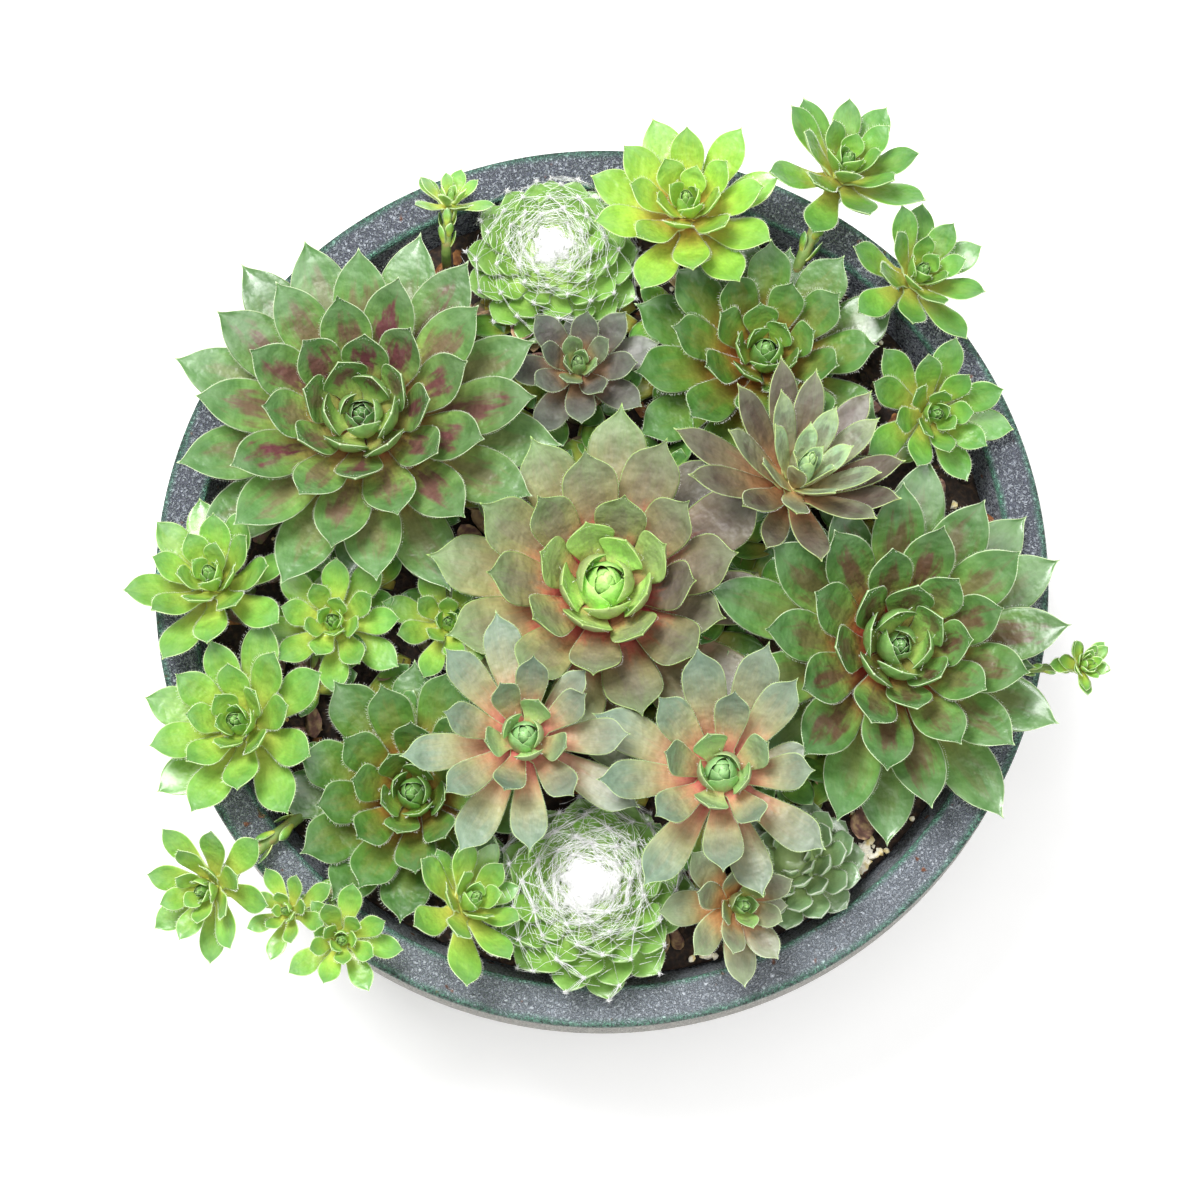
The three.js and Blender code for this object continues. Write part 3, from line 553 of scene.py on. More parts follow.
def bowl_finish():
    """Cast resin bowl in aged slate: a leathery ridged grain that catches the light, copper green
    rubbed along the rim's two edges and a paler outer wall, with a painted reflection toward the
    front and painted shade along the turned outer edge."""
    material = new_material("aged_slate_resin")
    place = add_node(material, "TexCoord").outputs["Object"]
    drift, speck, worms = (
        add_node(
            material, "TexNoise", {},
            {"Vector": place, "Scale": 1 / (pitch * MM), "Detail": octaves, "Distortion": winding},
        ).outputs["Fac"]
        for pitch, octaves, winding in (
            (DRIFT_PITCH, 3.0, 0.0), (SPECK_PITCH, 1.0, 0.0), (GRAIN_PITCH, 1.0, 0.6)
        )
    )
    worms = add_node(material, "Math", {"operation": "SUBTRACT"}, {0: worms, 1: 0.5}).outputs[0]
    worms = add_node(material, "Math", {"operation": "ABSOLUTE"}, {0: worms}).outputs[0]
    grain = add_node(
        material, "MapRange", {}, {"Value": worms, "From Min": 0.15, "From Max": 0.0}
    ).outputs[0]
    slate, stone = (
        add_node(material, "ValToRGB", {"stops": stops}, {"Fac": grain}).outputs["Color"]
        for stops in (
            [(0.0, "#3a3e4a"), (0.35, "#606574"), (0.7, "#989eaa"), (1.0, "#c2c8d0")],
            [(0.0, "#7c7a74"), (0.4, "#a5a298"), (1.0, "#c6c2b6")],
        )
    )
    tint = add_node(
        material, "ValToRGB", {"stops": [(0.35, "#7a7c8c"), (0.65, "#7f8e94")]}, {"Fac": drift}
    ).outputs["Color"]

    # Distance from the bowl's axis finds the rim's edges, height finds the outer wall.
    axes = add_node(material, "SeparateXYZ", {}, {"Vector": place}).outputs
    flat = add_node(material, "CombineXYZ", {}, {"X": axes["X"], "Y": axes["Y"]}).outputs[0]
    radius = add_node(material, "VectorMath", {"operation": "LENGTH"}, {0: flat}).outputs["Value"]
    wander = add_node(
        material, "Math", {"operation": "MULTIPLY_ADD"}, {0: drift, 1: 3 * MM, 2: -1.5 * MM}
    ).outputs[0]
    radius = add_node(material, "Math", {"operation": "ADD"}, {0: radius, 1: wander}).outputs[0]

    # How strong each effect is: what it follows, its course, over which values, and from what
    # to what. The slate is painted paler toward the front, a painted reflection of the lamps,
    # there is a rust speck in every few centimetres, copper green shows on the ridges of both
    # edges, painted shade lies dark in the grain's hollows along the turned outer edge, and the
    # wash was wiped off the outer wall.
    share = {
        effect: add_node(
            material, "MapRange", {"interpolation_type": course},
            {"Value": value, "From Min": low, "From Max": high, "To Min": at_low,
             "To Max": at_high},
        ).outputs[0]
        for effect, value, course, low, high, at_low, at_high in (
            # Painted reflection of the lamps: paler toward the front.
            ("pale", axes["Y"], "SMOOTHSTEP", -40 * MM, -130 * MM, 0.0, 0.60),
            ("rust", speck, "LINEAR", 0.72, 0.78, 0.0, 1.0),
            ("outer_band", radius, "SMOOTHSTEP", (RIM_RADIUS - 1.3 * COPPER_BAND) * MM,
             (RIM_RADIUS - 0.4) * MM, 0.0, 1.0),
            ("inner_band", radius, "SMOOTHSTEP", (INNER_RADIUS + COPPER_BAND) * MM,
             (INNER_RADIUS + 0.3) * MM, 0.0, 1.0),
            ("topmost", axes["Z"], "LINEAR", (POT_HEIGHT - 2.5) * MM, (POT_HEIGHT - 0.8) * MM,
             0.0, 1.0),
            ("ridges", grain, "LINEAR", 0.0, 1.0, 0.2, 1.0),
            # Where the painted shade of the turned outer edge lies.
            ("edge", radius, "SMOOTHSTEP", (RIM_RADIUS - 1.5) * MM, (RIM_RADIUS - 0.2) * MM,
             0.0, 1.0),
            ("hollows", grain, "LINEAR", 0.0, 1.0, 0.95, 0.25),
            ("below", axes["Z"], "SMOOTHSTEP", (POT_HEIGHT - 1.0) * MM, (POT_HEIGHT - 3.5) * MM,
             0.0, 1.0),
            ("outside", radius, "LINEAR", (RIM_RADIUS - 8) * MM, (RIM_RADIUS - 5) * MM, 0.0, 1.0),
            ("lower", axes["Z"], "LINEAR", (COLLAR_FOOT + 6) * MM, (COLLAR_FOOT + 3) * MM,
             0.0, 1.0),
            ("rough", grain, "LINEAR", 0.0, 1.0, 0.60, 0.34),
        )
    }
    for effect, operation, one, other in (
        ("inner_band", "MULTIPLY", "inner_band", "topmost"),
        ("band", "MAXIMUM", "outer_band", "inner_band"),
        ("copper", "MULTIPLY", "band", "ridges"),
        # Painted shade of the turned outer edge, in the grain's hollows.
        ("edge_shade", "MULTIPLY", "edge", "hollows"),
        ("outside", "MAXIMUM", "outside", "lower"),
        ("wall", "MULTIPLY", "below", "outside"),
    ):
        share[effect] = add_node(
            material, "Math", {"operation": operation}, {0: share[one], 1: share[other]}
        ).outputs[0]
    colour = slate
    for blend, amount, over in (
        ("MIX", 0.06, tint),
        # Painted reflection of the lamps: the slate screened paler toward the front.
        ("SCREEN", share["pale"], linear("#7c8488")),
        ("MIX", share["rust"], linear("#8a5a44")),
        ("MIX", share["copper"], linear("#62a888")),
        # Painted shade along the turned outer edge, darkest in the grain's hollows.
        ("MIX", share["edge_shade"], linear("#182420")),
        ("MIX", share["wall"], stone),
    ):
        colour = add_node(
            material, "Mix", {"data_type": "RGBA", "blend_type": blend},
            {0: amount, 6: colour, 7: over},
        ).outputs[2]
    return finish_material(
        material, colour, grain, 1.2 * MM, {"Roughness": share["rough"], "IOR": 1.5}
    )


def potting_mix():
    """Damp potting mix: dark crumbs of peat and bark, matt, with a few damp glints."""
    material = new_material("damp_potting_mix")
    place = add_node(material, "TexCoord").outputs["Object"]
    crumbs = add_node(
        material, "TexVoronoi", {}, {"Vector": place, "Scale": 1 / (2.2 * MM)}
    ).outputs["Distance"]
    fibres = add_node(
        material, "TexNoise", {}, {"Vector": place, "Scale": 1 / (1.5 * MM), "Detail": 6.0}
    ).outputs["Fac"]
    mixed = add_node(material, "Math", {"operation": "MULTIPLY"}, {0: crumbs, 1: fibres}).outputs[0]
    colour = add_node(
        material, "ValToRGB",
        {"stops": [(0.0, "#120c08"), (0.25, "#2a1e16"), (0.5, "#4a3624"), (0.8, "#74583c")]},
        {"Fac": mixed},
    ).outputs["Color"]
    return finish_material(material, colour, mixed, 1.2 * MM, {"Roughness": 0.85})


def withered_leaf():
    """Dead leaf dried to paper: tan and mauve-brown, matt, darker where it is still damp."""
    material = new_material("withered_leaf")
    place = add_node(material, "TexCoord").outputs["Object"]
    chance = add_node(material, "Attribute", {"attribute_name": "chance"}).outputs["Fac"]
    grain = add_node(
        material, "TexNoise", {}, {"Vector": place, "Scale": 1 / (2.5 * MM), "Detail": 5.0}
    ).outputs["Fac"]
    mixed = add_node(
        material, "Math", {"operation": "MULTIPLY_ADD"}, {0: chance, 1: 0.55, 2: grain}
    ).outputs[0]
    colour = add_node(
        material, "ValToRGB",
        {"stops": [(0.25, "#463628"), (0.5, "#6c6a42"), (0.75, "#8a625c"), (1.0, "#ccac80")]},
        {"Fac": mixed},
    ).outputs["Color"]
    return finish_material(material, colour, grain, 0.5 * MM, {"Roughness": 0.8})


# ---------------------------------------------------------------- meshes

# Places of the finishes on a plant, and in the soil.
LEAF_SLOT, HAIR_SLOT, STEM_SLOT, WOOL_SLOT = range(4)
MIX_SLOT, PERLITE_SLOT, BARK_SLOT, WITHERED_SLOT, LOW_LEAF_SLOT = range(5)


class Skin:
    """Points and faces of one piece, in millimetres, with the marks its materials read."""

    def __init__(self):
        self.points = []
        self.faces = []
        self.slots = []
        self.marks = []
        self.count = 0

    def add(self, points, faces, slot=0, marks=None):
        points = np.asarray(points, float)
        values = np.zeros((len(points), len(MARKS)))
        for name, value in (marks or {}).items():
            values[:, MARKS.index(name)] = value
        self.faces += [tuple(self.count + corner for corner in face) for face in faces]
        self.slots += [slot] * len(faces)
        self.points.append(points)
        self.marks.append(values)
        self.count += len(points)

    def piece(self, name, materials, smooth_slots=(0,)):
        mesh = bpy.data.meshes.new(name)
        points = np.concatenate(self.points) * MM
        mesh.from_pydata(points.tolist(), [], self.faces)
        values = np.concatenate(self.marks).astype(np.float32)
        for column, mark in enumerate(MARKS):
            attribute = mesh.attributes.new(mark, "FLOAT", "POINT")
            attribute.data.foreach_set("value", np.ascontiguousarray(values[:, column]))
        mesh.polygons.foreach_set("material_index", self.slots)
        smooth = [slot in smooth_slots for slot in self.slots]
        mesh.polygons.foreach_set("use_smooth", smooth)
        for material in materials:
            mesh.materials.append(material)
        mesh.update()
        piece = bpy.data.objects.new(name, mesh)
        bpy.context.scene.collection.objects.link(piece)
        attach(piece, "root")
        return piece


def even_turns(count):
    return np.arange(count) * 2 * math.pi / count


def ring_at(turns, radius, height):
    """Points round the upright axis. The radius and the height can change on the way."""
    return np.stack([radius * np.cos(turns), radius * np.sin(turns), height + 0 * turns], -1)


def revolved(profile, around):
    """Rings of points, one for each radius and height of a profile."""
    turns = even_turns(around)
    return np.concatenate([ring_at(turns, radius, height) for radius, height in profile])


def ring_faces(rings, around):
    """Quads between rings of points, each with the same number around."""
    faces = []
    for here in range(0, (rings - 1) * around, around):
        for j in range(around):
            k = (j + 1) % around
            faces.append((here + j, here + k, here + around + k, here + around + j))
    return faces


def tube_faces(rings, around):
    """A closed tube of rings."""
    last = (rings - 1) * around
    caps = [tuple(range(around - 1, -1, -1)), tuple(range(last, last + around))]
    return ring_faces(rings, around) + caps


def blade_faces(rings, around):
    """A closed blade of rings and one more point, its tip."""
    last = (rings - 1) * around
    tip = rings * around
    point = [(last + j, last + (j + 1) % around, tip) for j in range(around)]
    return ring_faces(rings, around) + point + [tuple(range(around - 1, -1, -1))]


def dome_faces(rings, around):
    """A closed dome of rings and two more points, its peak and the one below."""
    peak = rings * around
    last = peak - around
    faces = [face[::-1] for face in ring_faces(rings, around)]
    for j in range(around):
        k = (j + 1) % around
        faces += [(peak, j, k), (peak + 1, last + k, last + j)]
    return faces


def turned(points, axis, angle):
    """Points turned about an axis through the origin."""
    axis = np.asarray(axis, float)
    cosine, sine = math.cos(angle), math.sin(angle)
    along = points @ axis
    return points * cosine + np.cross(axis, points) * sine + np.outer(along, axis) * (1 - cosine)


# ---------------------------------------------------------------- growing a rosette

# The two families of spirals that the leaves of a rosette form, below each number of leaves.
SPIRALS = ((12, (2, 3)), (32, (5, 3)), (60, (5, 8)), (math.inf, (13, 8)))


def spirals_of(count):
    return next(pair for limit, pair in SPIRALS if count < limit)


def wrapped(angle):
    return angle - 2 * math.pi * math.floor(angle / (2 * math.pi) + 0.5)


def core_point(head, kind, s):
    left, right = spirals_of(head["leaves"])
    last = head["leaves"] + left + right - 1
    slope = (s / last) ** CORE_SPREAD * NADIR_SLOPE
    radius = head["radius"] * kind["core"] * (CORE_TOP + (1 - CORE_TOP) * math.sin(slope))
    bearing = head["turn"] * DEG + s * GOLDEN_ANGLE
    height = head["radius"] * kind["core_height"] * math.cos(slope)
    return np.array([radius * math.cos(bearing), radius * math.sin(bearing), height])


def drawer(seed):
    """Repeatable draws between -1 and 1, the same as the solids use."""
    state = seed
    while True:
        state = (state * 48271) % 2147483647
        yield (2 * state) / 2147483647 - 1


def leaves_of(head, kind, seed):
    """The leaves of one rosette in its own frame, from the innermost to the outermost."""
    draws = drawer(seed)
    left, right = spirals_of(head["leaves"])
    sideways = wrapped((left + right) * GOLDEN_ANGLE) / 2
    found = []
    for i in range(head["leaves"]):
        age = i / (head["leaves"] - 1)
        youth = (1 - age) ** BUD_TIGHTNESS
        grown = 1 - (1 - age) ** GROWTH
        steepness = kind["high"] + (kind["low"] - kind["high"]) * age**OPENING
        corners = [core_point(head, kind, s) for s in (i, i + left, i + left + right, i + right)]
        middle = sum(corners) / 4
        narrowing = kind["narrowest"] + (1 - kind["narrowest"]) * grown
        width = head["radius"] * kind["leaf_width"] * narrowing
        curl = kind["curl_low"] + (kind["curl_high"] - kind["curl_low"]) * youth
        reach = kind["shortest"] + (kind["longest"] - kind["shortest"]) * grown
        bearing = head["turn"] * DEG + i * GOLDEN_ANGLE + sideways
        found.append(
            dict(
                bearing=bearing + UNEVEN_BEARING * DEG * next(draws),
                out=math.hypot(middle[0], middle[1]),
                up=middle[2],
                root_half=np.linalg.norm(corners[1] - corners[3]) / 2,
                length=head["radius"] * reach * (1 + UNEVEN_SIZE * next(draws)),
                half=width / 2 * (1 + UNEVEN_SIZE * next(draws)),
                thickness=max(width * kind["thickness"], THINNEST),
                rise=(steepness - curl / 2 + UNEVEN_SLOPE * next(draws)) * DEG,
                curl=curl * DEG,
                age=age,
            )
        )
    return found


def along_leaf(leaf, t, form):
    """Middle line of a leaf: how far out and up it is at each share t, and its angle."""
    raised, size = form
    start = leaf["rise"] + raised
    angle = start + leaf["curl"] * t
    length = leaf["length"] * size
    out = leaf["out"] + length * (np.sin(angle) - np.sin(start)) / leaf["curl"]
    up = leaf["up"] - length * (np.cos(angle) - np.cos(start)) / leaf["curl"]
    return out, up, angle


def placed(head, points):
    """From the rosette's own frame to the bowl's."""
    towards = head["towards"] * DEG
    axis = (-math.sin(towards), math.cos(towards), 0)
    crown = (head["x"], head["y"], POT_HEIGHT + head["lift"])
    return turned(np.atleast_2d(points), axis, head["lean"] * DEG) + crown


def leaf_point(leaf, t, form, across, lift):
    out, up, angle = along_leaf(leaf, t, form)
    out = out - np.sin(angle) * lift
    up = up + np.cos(angle) * lift
    cosine, sine = math.cos(leaf["bearing"]), math.sin(leaf["bearing"])
    return np.stack([out * cosine - across * sine, out * sine + across * cosine, up], -1)


def form_of(head, leaf, tips):
    """The form in which the solid grew this leaf, found by where its tip is."""
    for form in LEAF_FORMS:
        tip = leaf_point(leaf, 1.0, form, 0.0, leaf["half"] * form[1] * TIP_RISE)
        if tips.find(placed(head, tip)[0])[2] < FORM_MATCH:
            return form
    return None


# Half width of a leaf along it, as a share of its widest.
OUTLINES = {
    "spoon": (
        (0.0, 0.14, 0.30, 0.45, 0.60, 0.70, 0.77, 0.83, 0.87, 0.90, 0.93, 0.955, 0.98, 1.0),
        (0.42, 0.50, 0.67, 0.85, 0.99, 1.02, 0.98, 0.86, 0.67, 0.47, 0.27, 0.14, 0.06, 0.03),
    ),
    "pointed": (
        (0.0, 0.14, 0.30, 0.45, 0.60, 0.70, 0.77, 0.83, 0.87, 0.90, 0.93, 0.955, 0.98, 1.0),
        (0.42, 0.50, 0.68, 0.87, 1.0, 0.98, 0.89, 0.75, 0.62, 0.49, 0.34, 0.20, 0.08, 0.03),
    ),
    "lance": (
        (0.0, 0.14, 0.30, 0.45, 0.60, 0.70, 0.78, 0.84, 0.88, 0.92, 0.95, 0.975, 1.0),
        (0.55, 0.68, 0.86, 0.97, 1.0, 0.96, 0.85, 0.70, 0.54, 0.34, 0.18, 0.08, 0.03),
    ),
    "scale": (
        (0.0, 0.20, 0.40, 0.62, 0.72, 0.80, 0.87, 0.92, 0.96, 1.0),
        (0.60, 0.80, 0.95, 1.0, 0.93, 0.78, 0.56, 0.36, 0.17, 0.0),
    ),
}
RING_PLACES = np.array(
    [-0.05, 0.05, 0.15, 0.26, 0.37, 0.48, 0.58, 0.67, 0.75, 0.81, 0.855, 0.89, 0.92, 0.945,
     0.965, 0.985]
)
UPPER_POINTS = 9


def section(top):
    """Round a leaf's section, along the top and back underneath: how far across each place is,
    and whether it is above (1) or below (-1)."""
    across = np.concatenate([top, top[-2:0:-1]])
    side = np.concatenate([np.ones(len(top)), -np.ones(len(top) - 2)])
    return across[None, :], side[None, :]


ACROSS, SIDE = section(np.sin(np.linspace(-90, 90, UPPER_POINTS) * DEG))
AROUND = ACROSS.size
ROUNDING = 0.6

# At these places along a leaf: how far its margins rise, as a share of its half width, and
# how far it reaches above and below its middle line, as shares of its thickness.
SECTION_PLACES = (0.0, 0.60, 0.85, 1.0)
MARGIN_RISE = (0.0, 0.14, 0.12, TIP_RISE)
TOP_HEIGHT = (0.55, 0.34, 0.24, 0.05)
KEEL_DEPTH = (0.85, 0.72, 0.50, 0.05)


def leaf_shape(leaf, form, kind, t):
    """Half width, rise of the margins, and height above and below the middle line."""
    half = leaf["half"] * form[1]
    places, widths = OUTLINES[kind["outline"]]
    root_width = min(max(leaf["root_half"] / half, 0.3), 0.9)
    width = np.interp(t, places, [root_width, *widths[1:]]) * half
    margin = np.interp(t, SECTION_PLACES, MARGIN_RISE) * half
    top = np.interp(t, SECTION_PLACES, TOP_HEIGHT) * leaf["thickness"]
    keel = np.interp(t, SECTION_PLACES, KEEL_DEPTH) * leaf["thickness"]
    return width, margin, top, keel


AT_TIP = dict(along=1.0, across=0.0, rim=0.0, under=0.0)


def add_pointed(skin, head, rings, tip, marks):
    """A closed blade through rings of points to its tip, in the rosette's own frame."""
    shape = rings.shape[:2]
    values = {
        mark: np.append(np.broadcast_to(value, shape), AT_TIP.get(mark, value))
        for mark, value in marks.items()
    }
    points = placed(head, np.vstack([rings.reshape(-1, 3), tip]))
    skin.add(points, blade_faces(*shape), LEAF_SLOT, values)
    return points[-1]


# Young leaves are wider and wrap round the bud. Margins curl up, tips bend back, and every
# leaf is a little wavy, twisted and swayed, and ends in a fine point.
WRAP_AGE = 0.30
WRAP_LIMIT = 1.4
WIDEN = {"spoon": 0.45, "pointed": 0.35, "lance": 0.25, "scale": 0.0}
MARGIN_CURL = 1.8
BENT_FROM = 0.8
BENT_GROWN = 0.3
BENT_BACK = 0.06
WAVE = 0.03
WAVES = 7
TWIST = 0.09
SWAY = 0.05
TIP_END = 1.02
# Bearing of the rosettes' right side, away from the key light. Leaves there get mauve painted
# shade, partly their own tint.
SHADE_BEARING = -5 * DEG


def add_blade(skin, head, leaf, form, kind, draw):
    """One fleshy leaf: a closed blade, rounded along its margins, with a pointed tip."""
    t = RING_PLACES[:, None]
    length = leaf["length"] * form[1]
    width, margin, top, keel = leaf_shape(leaf, form, kind, t)
    youth = max(1 - leaf["age"] / WRAP_AGE, 0)
    width = width * (1 + WIDEN[kind["outline"]] * youth * np.sin(np.clip(t, 0, 1) * math.pi))
    spare = 1 - ACROSS**2
    lift = margin * np.abs(ACROSS) ** MARGIN_CURL + (top - keel) / 2 * spare
    lift = lift + SIDE * (top + keel) / 2 * spare**ROUNDING
    bent = np.clip((t - BENT_FROM) / (1 - BENT_FROM), 0, 1) ** 2 * (BENT_GROWN + youth)
    lift = lift - BENT_BACK * length * bent
    wave = draw.uniform(-WAVE, WAVE) * leaf["half"]
    lift = lift + wave * np.sin(WAVES * t + draw.uniform(0, 6)) * np.abs(ACROSS)
    lift = lift + TWIST * draw.uniform(-1, 1) * width * ACROSS * t
    sway = draw.uniform(-SWAY, SWAY) * length * np.clip(t, 0, 1) ** 2
    round_bud = np.maximum(along_leaf(leaf, t, form)[0], 1.0) / max(youth**0.6, 0.02)
    turn = np.clip(width * ACROSS / round_bud, -WRAP_LIMIT, WRAP_LIMIT)
    sideways = round_bud * np.sin(turn) + sway * (1 - t)
    lift = lift + np.where(youth > 0, round_bud * (1 - np.cos(turn)), 0)
    tip_lift = leaf["half"] * form[1] * TIP_RISE - BENT_BACK * length * (BENT_GROWN + youth)
    return add_pointed(
        skin, head,
        leaf_point(leaf, t + 0 * ACROSS, form, sideways, lift),
        leaf_point(leaf, TIP_END, form, 0.0, tip_lift),
        dict(
            along=np.clip(t, 0, 1),
            across=ACROSS,
            rim=(1 - np.abs(ACROSS)) * width,
            age=leaf["age"],
            chance=draw.uniform(0, 1),
            # How far toward the right side the leaf points, for the mauve painted shade.
            sun=0.5 + 0.35 * math.cos(leaf["bearing"] - SHADE_BEARING) + 0.15 * draw.uniform(-1, 1),
            under=np.clip(-SIDE, 0, 1),
        ),
    )


# The bud's petals lie on one another like scales: how many there are, how far in the
# innermost is, the angles that the outermost and the innermost close to, how far each wraps,
# and how wide and tall the bud and its heart are.
BUD_FIELDS = ("petals", "inmost", "close", "wrap", "swell", "tall", "heart")
BUDS = {
    "spoon": dict(zip(BUD_FIELDS, (8, 0.46, (64, 87), 66, 1.06, 1.06, 0.60))),
    "pointed": dict(zip(BUD_FIELDS, (12, 0.34, (58, 84), 50, 1.02, 1.0, 0.46))),
    "lance": dict(zip(BUD_FIELDS, (9, 0.42, (56, 80), 58, 1.0, 1.04, 0.56))),
}
BUD_PLACES = np.array([0.0, 0.14, 0.30, 0.44, 0.57, 0.68, 0.78, 0.86, 0.92, 0.96, 0.985])
PETAL_PLACES = (0, 0.5, 0.7, 0.85, 0.94, 1)
PETAL_WIDTHS = (0.8, 1.0, 0.92, 0.66, 0.34, 0.0)
PETAL_FOOT = 0.1
HEART_RINGS = 8

# Distance to a margin in millimetres, for what has none.
NO_MARGIN = 9.0


def add_bud(skin, head, leaf, form, kind, draw):
    """The closed bud in the middle: the youngest leaves wrapped over one another."""
    bud = BUDS[kind["outline"]]
    out = along_leaf(leaf, 0.55, form)[0]
    top = along_leaf(leaf, 1.0, form)[1]
    outermost = bud["swell"] * (out - leaf["thickness"] * 0.6)
    base = leaf["up"] - 1.0
    tall = bud["tall"] * (top - base)
    slopes = np.linspace(0, 90, HEART_RINGS) * DEG
    wide = bud["heart"] * outermost * np.sin(slopes) ** 0.8
    heart = revolved(zip(wide, base + 0.94 * tall * np.cos(slopes) ** 0.8), AROUND)
    faces = [face[::-1] for face in tube_faces(HEART_RINGS, AROUND)]
    marks = dict(along=0.9, rim=NO_MARGIN, chance=0.5)
    skin.add(placed(head, heart), faces, LEAF_SLOT, marks)
    t = BUD_PLACES[:, None]
    narrow = np.interp(t, PETAL_PLACES, PETAL_WIDTHS)
    flesh = min(leaf["thickness"], 0.16 * outermost) * (1 - 0.6 * t)
    flesh = SIDE * flesh / 2 * (1 - ACROSS**2) ** ROUNDING
    for k in range(bud["petals"]):
        inward = k / (bud["petals"] - 1)
        radius = outermost * (1 - (1 - bud["inmost"]) * inward)
        height = tall * (0.84 + 0.16 * inward) * (1 + 0.03 * draw.uniform(-1, 1))
        close = np.interp(inward, (0, 1), bud["close"]) * DEG
        rise = t * (close + PETAL_FOOT) - PETAL_FOOT
        bearing = leaf["bearing"] - (k + 1) * GOLDEN_ANGLE + 0.1 * draw.uniform(-1, 1)
        shell = radius * np.cos(rise) ** 0.7 - flesh + 0.03 * radius * ACROSS**2
        turn = bearing + ACROSS * narrow * bud["wrap"] * DEG
        high = base + height * np.sin(rise) / math.sin(close) + flesh * np.sin(rise)
        tip_out = radius * math.cos(close) ** 0.7
        add_pointed(
            skin, head, ring_at(turn, shell, high),
            ring_at(bearing, tip_out, base + height + 0.25),
            dict(
                along=0.35 + 0.65 * t,
                across=ACROSS,
                rim=2.4 * (1 - np.abs(ACROSS)) * narrow * radius * bud["wrap"] * DEG,
                chance=draw.uniform(0, 1),
            ),
        )


# Millimetres between hairs and their thickness, and how they stand out and lean forward.
HAIR_PITCH = 0.8
HAIR_RADIUS = 0.06
HAIR_OUTWARD = 0.8
HAIR_FORWARD = 0.55
FRINGE_FROM = 0.12
FRINGE_TO = 0.985


def add_fringe(skin, head, leaf, form, kind, draw):
    """Fine hairs along both margins of a leaf, standing out from it."""
    leaf_length = leaf["length"] * form[1]
    count = int(leaf_length * 0.86 / HAIR_PITCH)
    for side in (-1, 1):
        t = np.linspace(FRINGE_FROM, FRINGE_TO, count)
        t = t + draw.uniform(-0.3, 0.3, count) / max(count, 1)
        width, margin, _, _ = leaf_shape(leaf, form, kind, t)
        length = kind["hair"] * draw.uniform(0.55, 1.15, count)
        foot = leaf_point(leaf, t, form, side * (width - 0.05), margin)
        forward = np.clip(t + HAIR_FORWARD * length / leaf_length, 0, TIP_END)
        end = leaf_point(
            leaf, forward, form, side * (width + HAIR_OUTWARD * length),
            margin + draw.uniform(-0.35, 0.35, count) * length,
        )
        add_spikes(skin, placed(head, foot), placed(head, end), HAIR_RADIUS, HAIR_SLOT)


def add_spikes(skin, feet, ends, radius, slot):
    """Three-sided spikes from each foot to its end."""
    line = ends - feet
    line = line / np.maximum(np.linalg.norm(line, axis=1, keepdims=True), 1e-9)
    side = np.cross(line, (0.0, 0.0, 1.0))
    upright = np.linalg.norm(side, axis=1) < 1e-3
    side[upright] = (1.0, 0.0, 0.0)
    side /= np.linalg.norm(side, axis=1, keepdims=True)
    other = np.cross(line, side)
    corners = [
        feet + radius * (math.cos(turn) * side + math.sin(turn) * other) for turn in even_turns(3)
    ]
    points = np.stack([*corners, ends], 1).reshape(-1, 3)
    faces = []
    for a in range(0, len(points), 4):
        faces += [(a, a + 1, a + 3), (a + 1, a + 2, a + 3), (a + 2, a, a + 3), (a, a + 2, a + 1)]
    skin.add(points, faces, slot)


CORE_RINGS = 14
CORE_AROUND = 28


def add_core(skin, head, kind):
    """The short trunk that the leaves sit on, just inside their roots."""
    size = head["radius"]
    wide = size * kind["core"]
    slopes = np.linspace(0, NADIR_SLOPE, CORE_RINGS)
    radius = 0.94 * wide * (CORE_TOP + (1 - CORE_TOP) * np.sin(slopes))
    height = size * kind["core_height"] * np.cos(slopes) - 0.02 * size
    rings = revolved(zip(radius, height), CORE_AROUND)
    points = np.vstack([rings, (0, 0, height[0]), (0, 0, height[-1] - 0.25 * wide)])
    marks = dict(along=0.1, rim=NO_MARGIN, age=0.2, chance=0.3)
    skin.add(placed(head, points), dome_faces(CORE_RINGS, CORE_AROUND), LEAF_SLOT, marks)


# ---------------------------------------------------------------- small leaves

SMALL_RINGS = 9
SMALL_SECTION = section(np.linspace(-1, 1, 5))
SMALL_PLACES = (0, 0.2, 0.55, 0.8, 0.92, 1)
SMALL_WIDTHS = (0.45, 0.7, 1.0, 0.75, 0.4, 0.04)


def small_leaf(length, half, flesh, curl, cup):
    """A small closed leaf along +X from its root, curling up at its tip and its margins."""
    t = np.linspace(0, 1, SMALL_RINGS)[:, None]
    across, side = SMALL_SECTION
    width = half * np.interp(t, SMALL_PLACES, SMALL_WIDTHS)
    out = length * np.sin(curl * t) / curl
    up = length * (1 - np.cos(curl * t)) / curl + cup * width * across**2
    up = up + side * flesh / 2 * (1 - across**2) ** ROUNDING * (1 - 0.7 * t)
    points = np.stack([out + 0 * across, width * across, up], -1)
    marks = dict(
        along=(t + 0 * across).ravel(),
        across=(across + 0 * t).ravel(),
        rim=((1 - np.abs(across)) * width).ravel(),
    )
    return points.reshape(-1, 3), tube_faces(*points.shape[:2]), marks


# ---------------------------------------------------------------- stems


def soil_height(x, y):
    reach = np.hypot(x, y) / RIM_RADIUS
    lumps = np.sin(x / LUMP_PITCH + 1) * np.cos(y * 1.3 / LUMP_PITCH)
    lumps = lumps + 0.6 * np.sin((x + y) / (LUMP_PITCH * 0.47))
    return SOIL_EDGE_HEIGHT + SOIL_CROWN * (1 - reach * reach) + LUMP_HEIGHT * lumps


STEM_SIDES = 14
STEM_STEPS = 10

# A direction that no tube runs along.
TUBE_GUIDE = np.array([0.31, 0.95, 0.05])


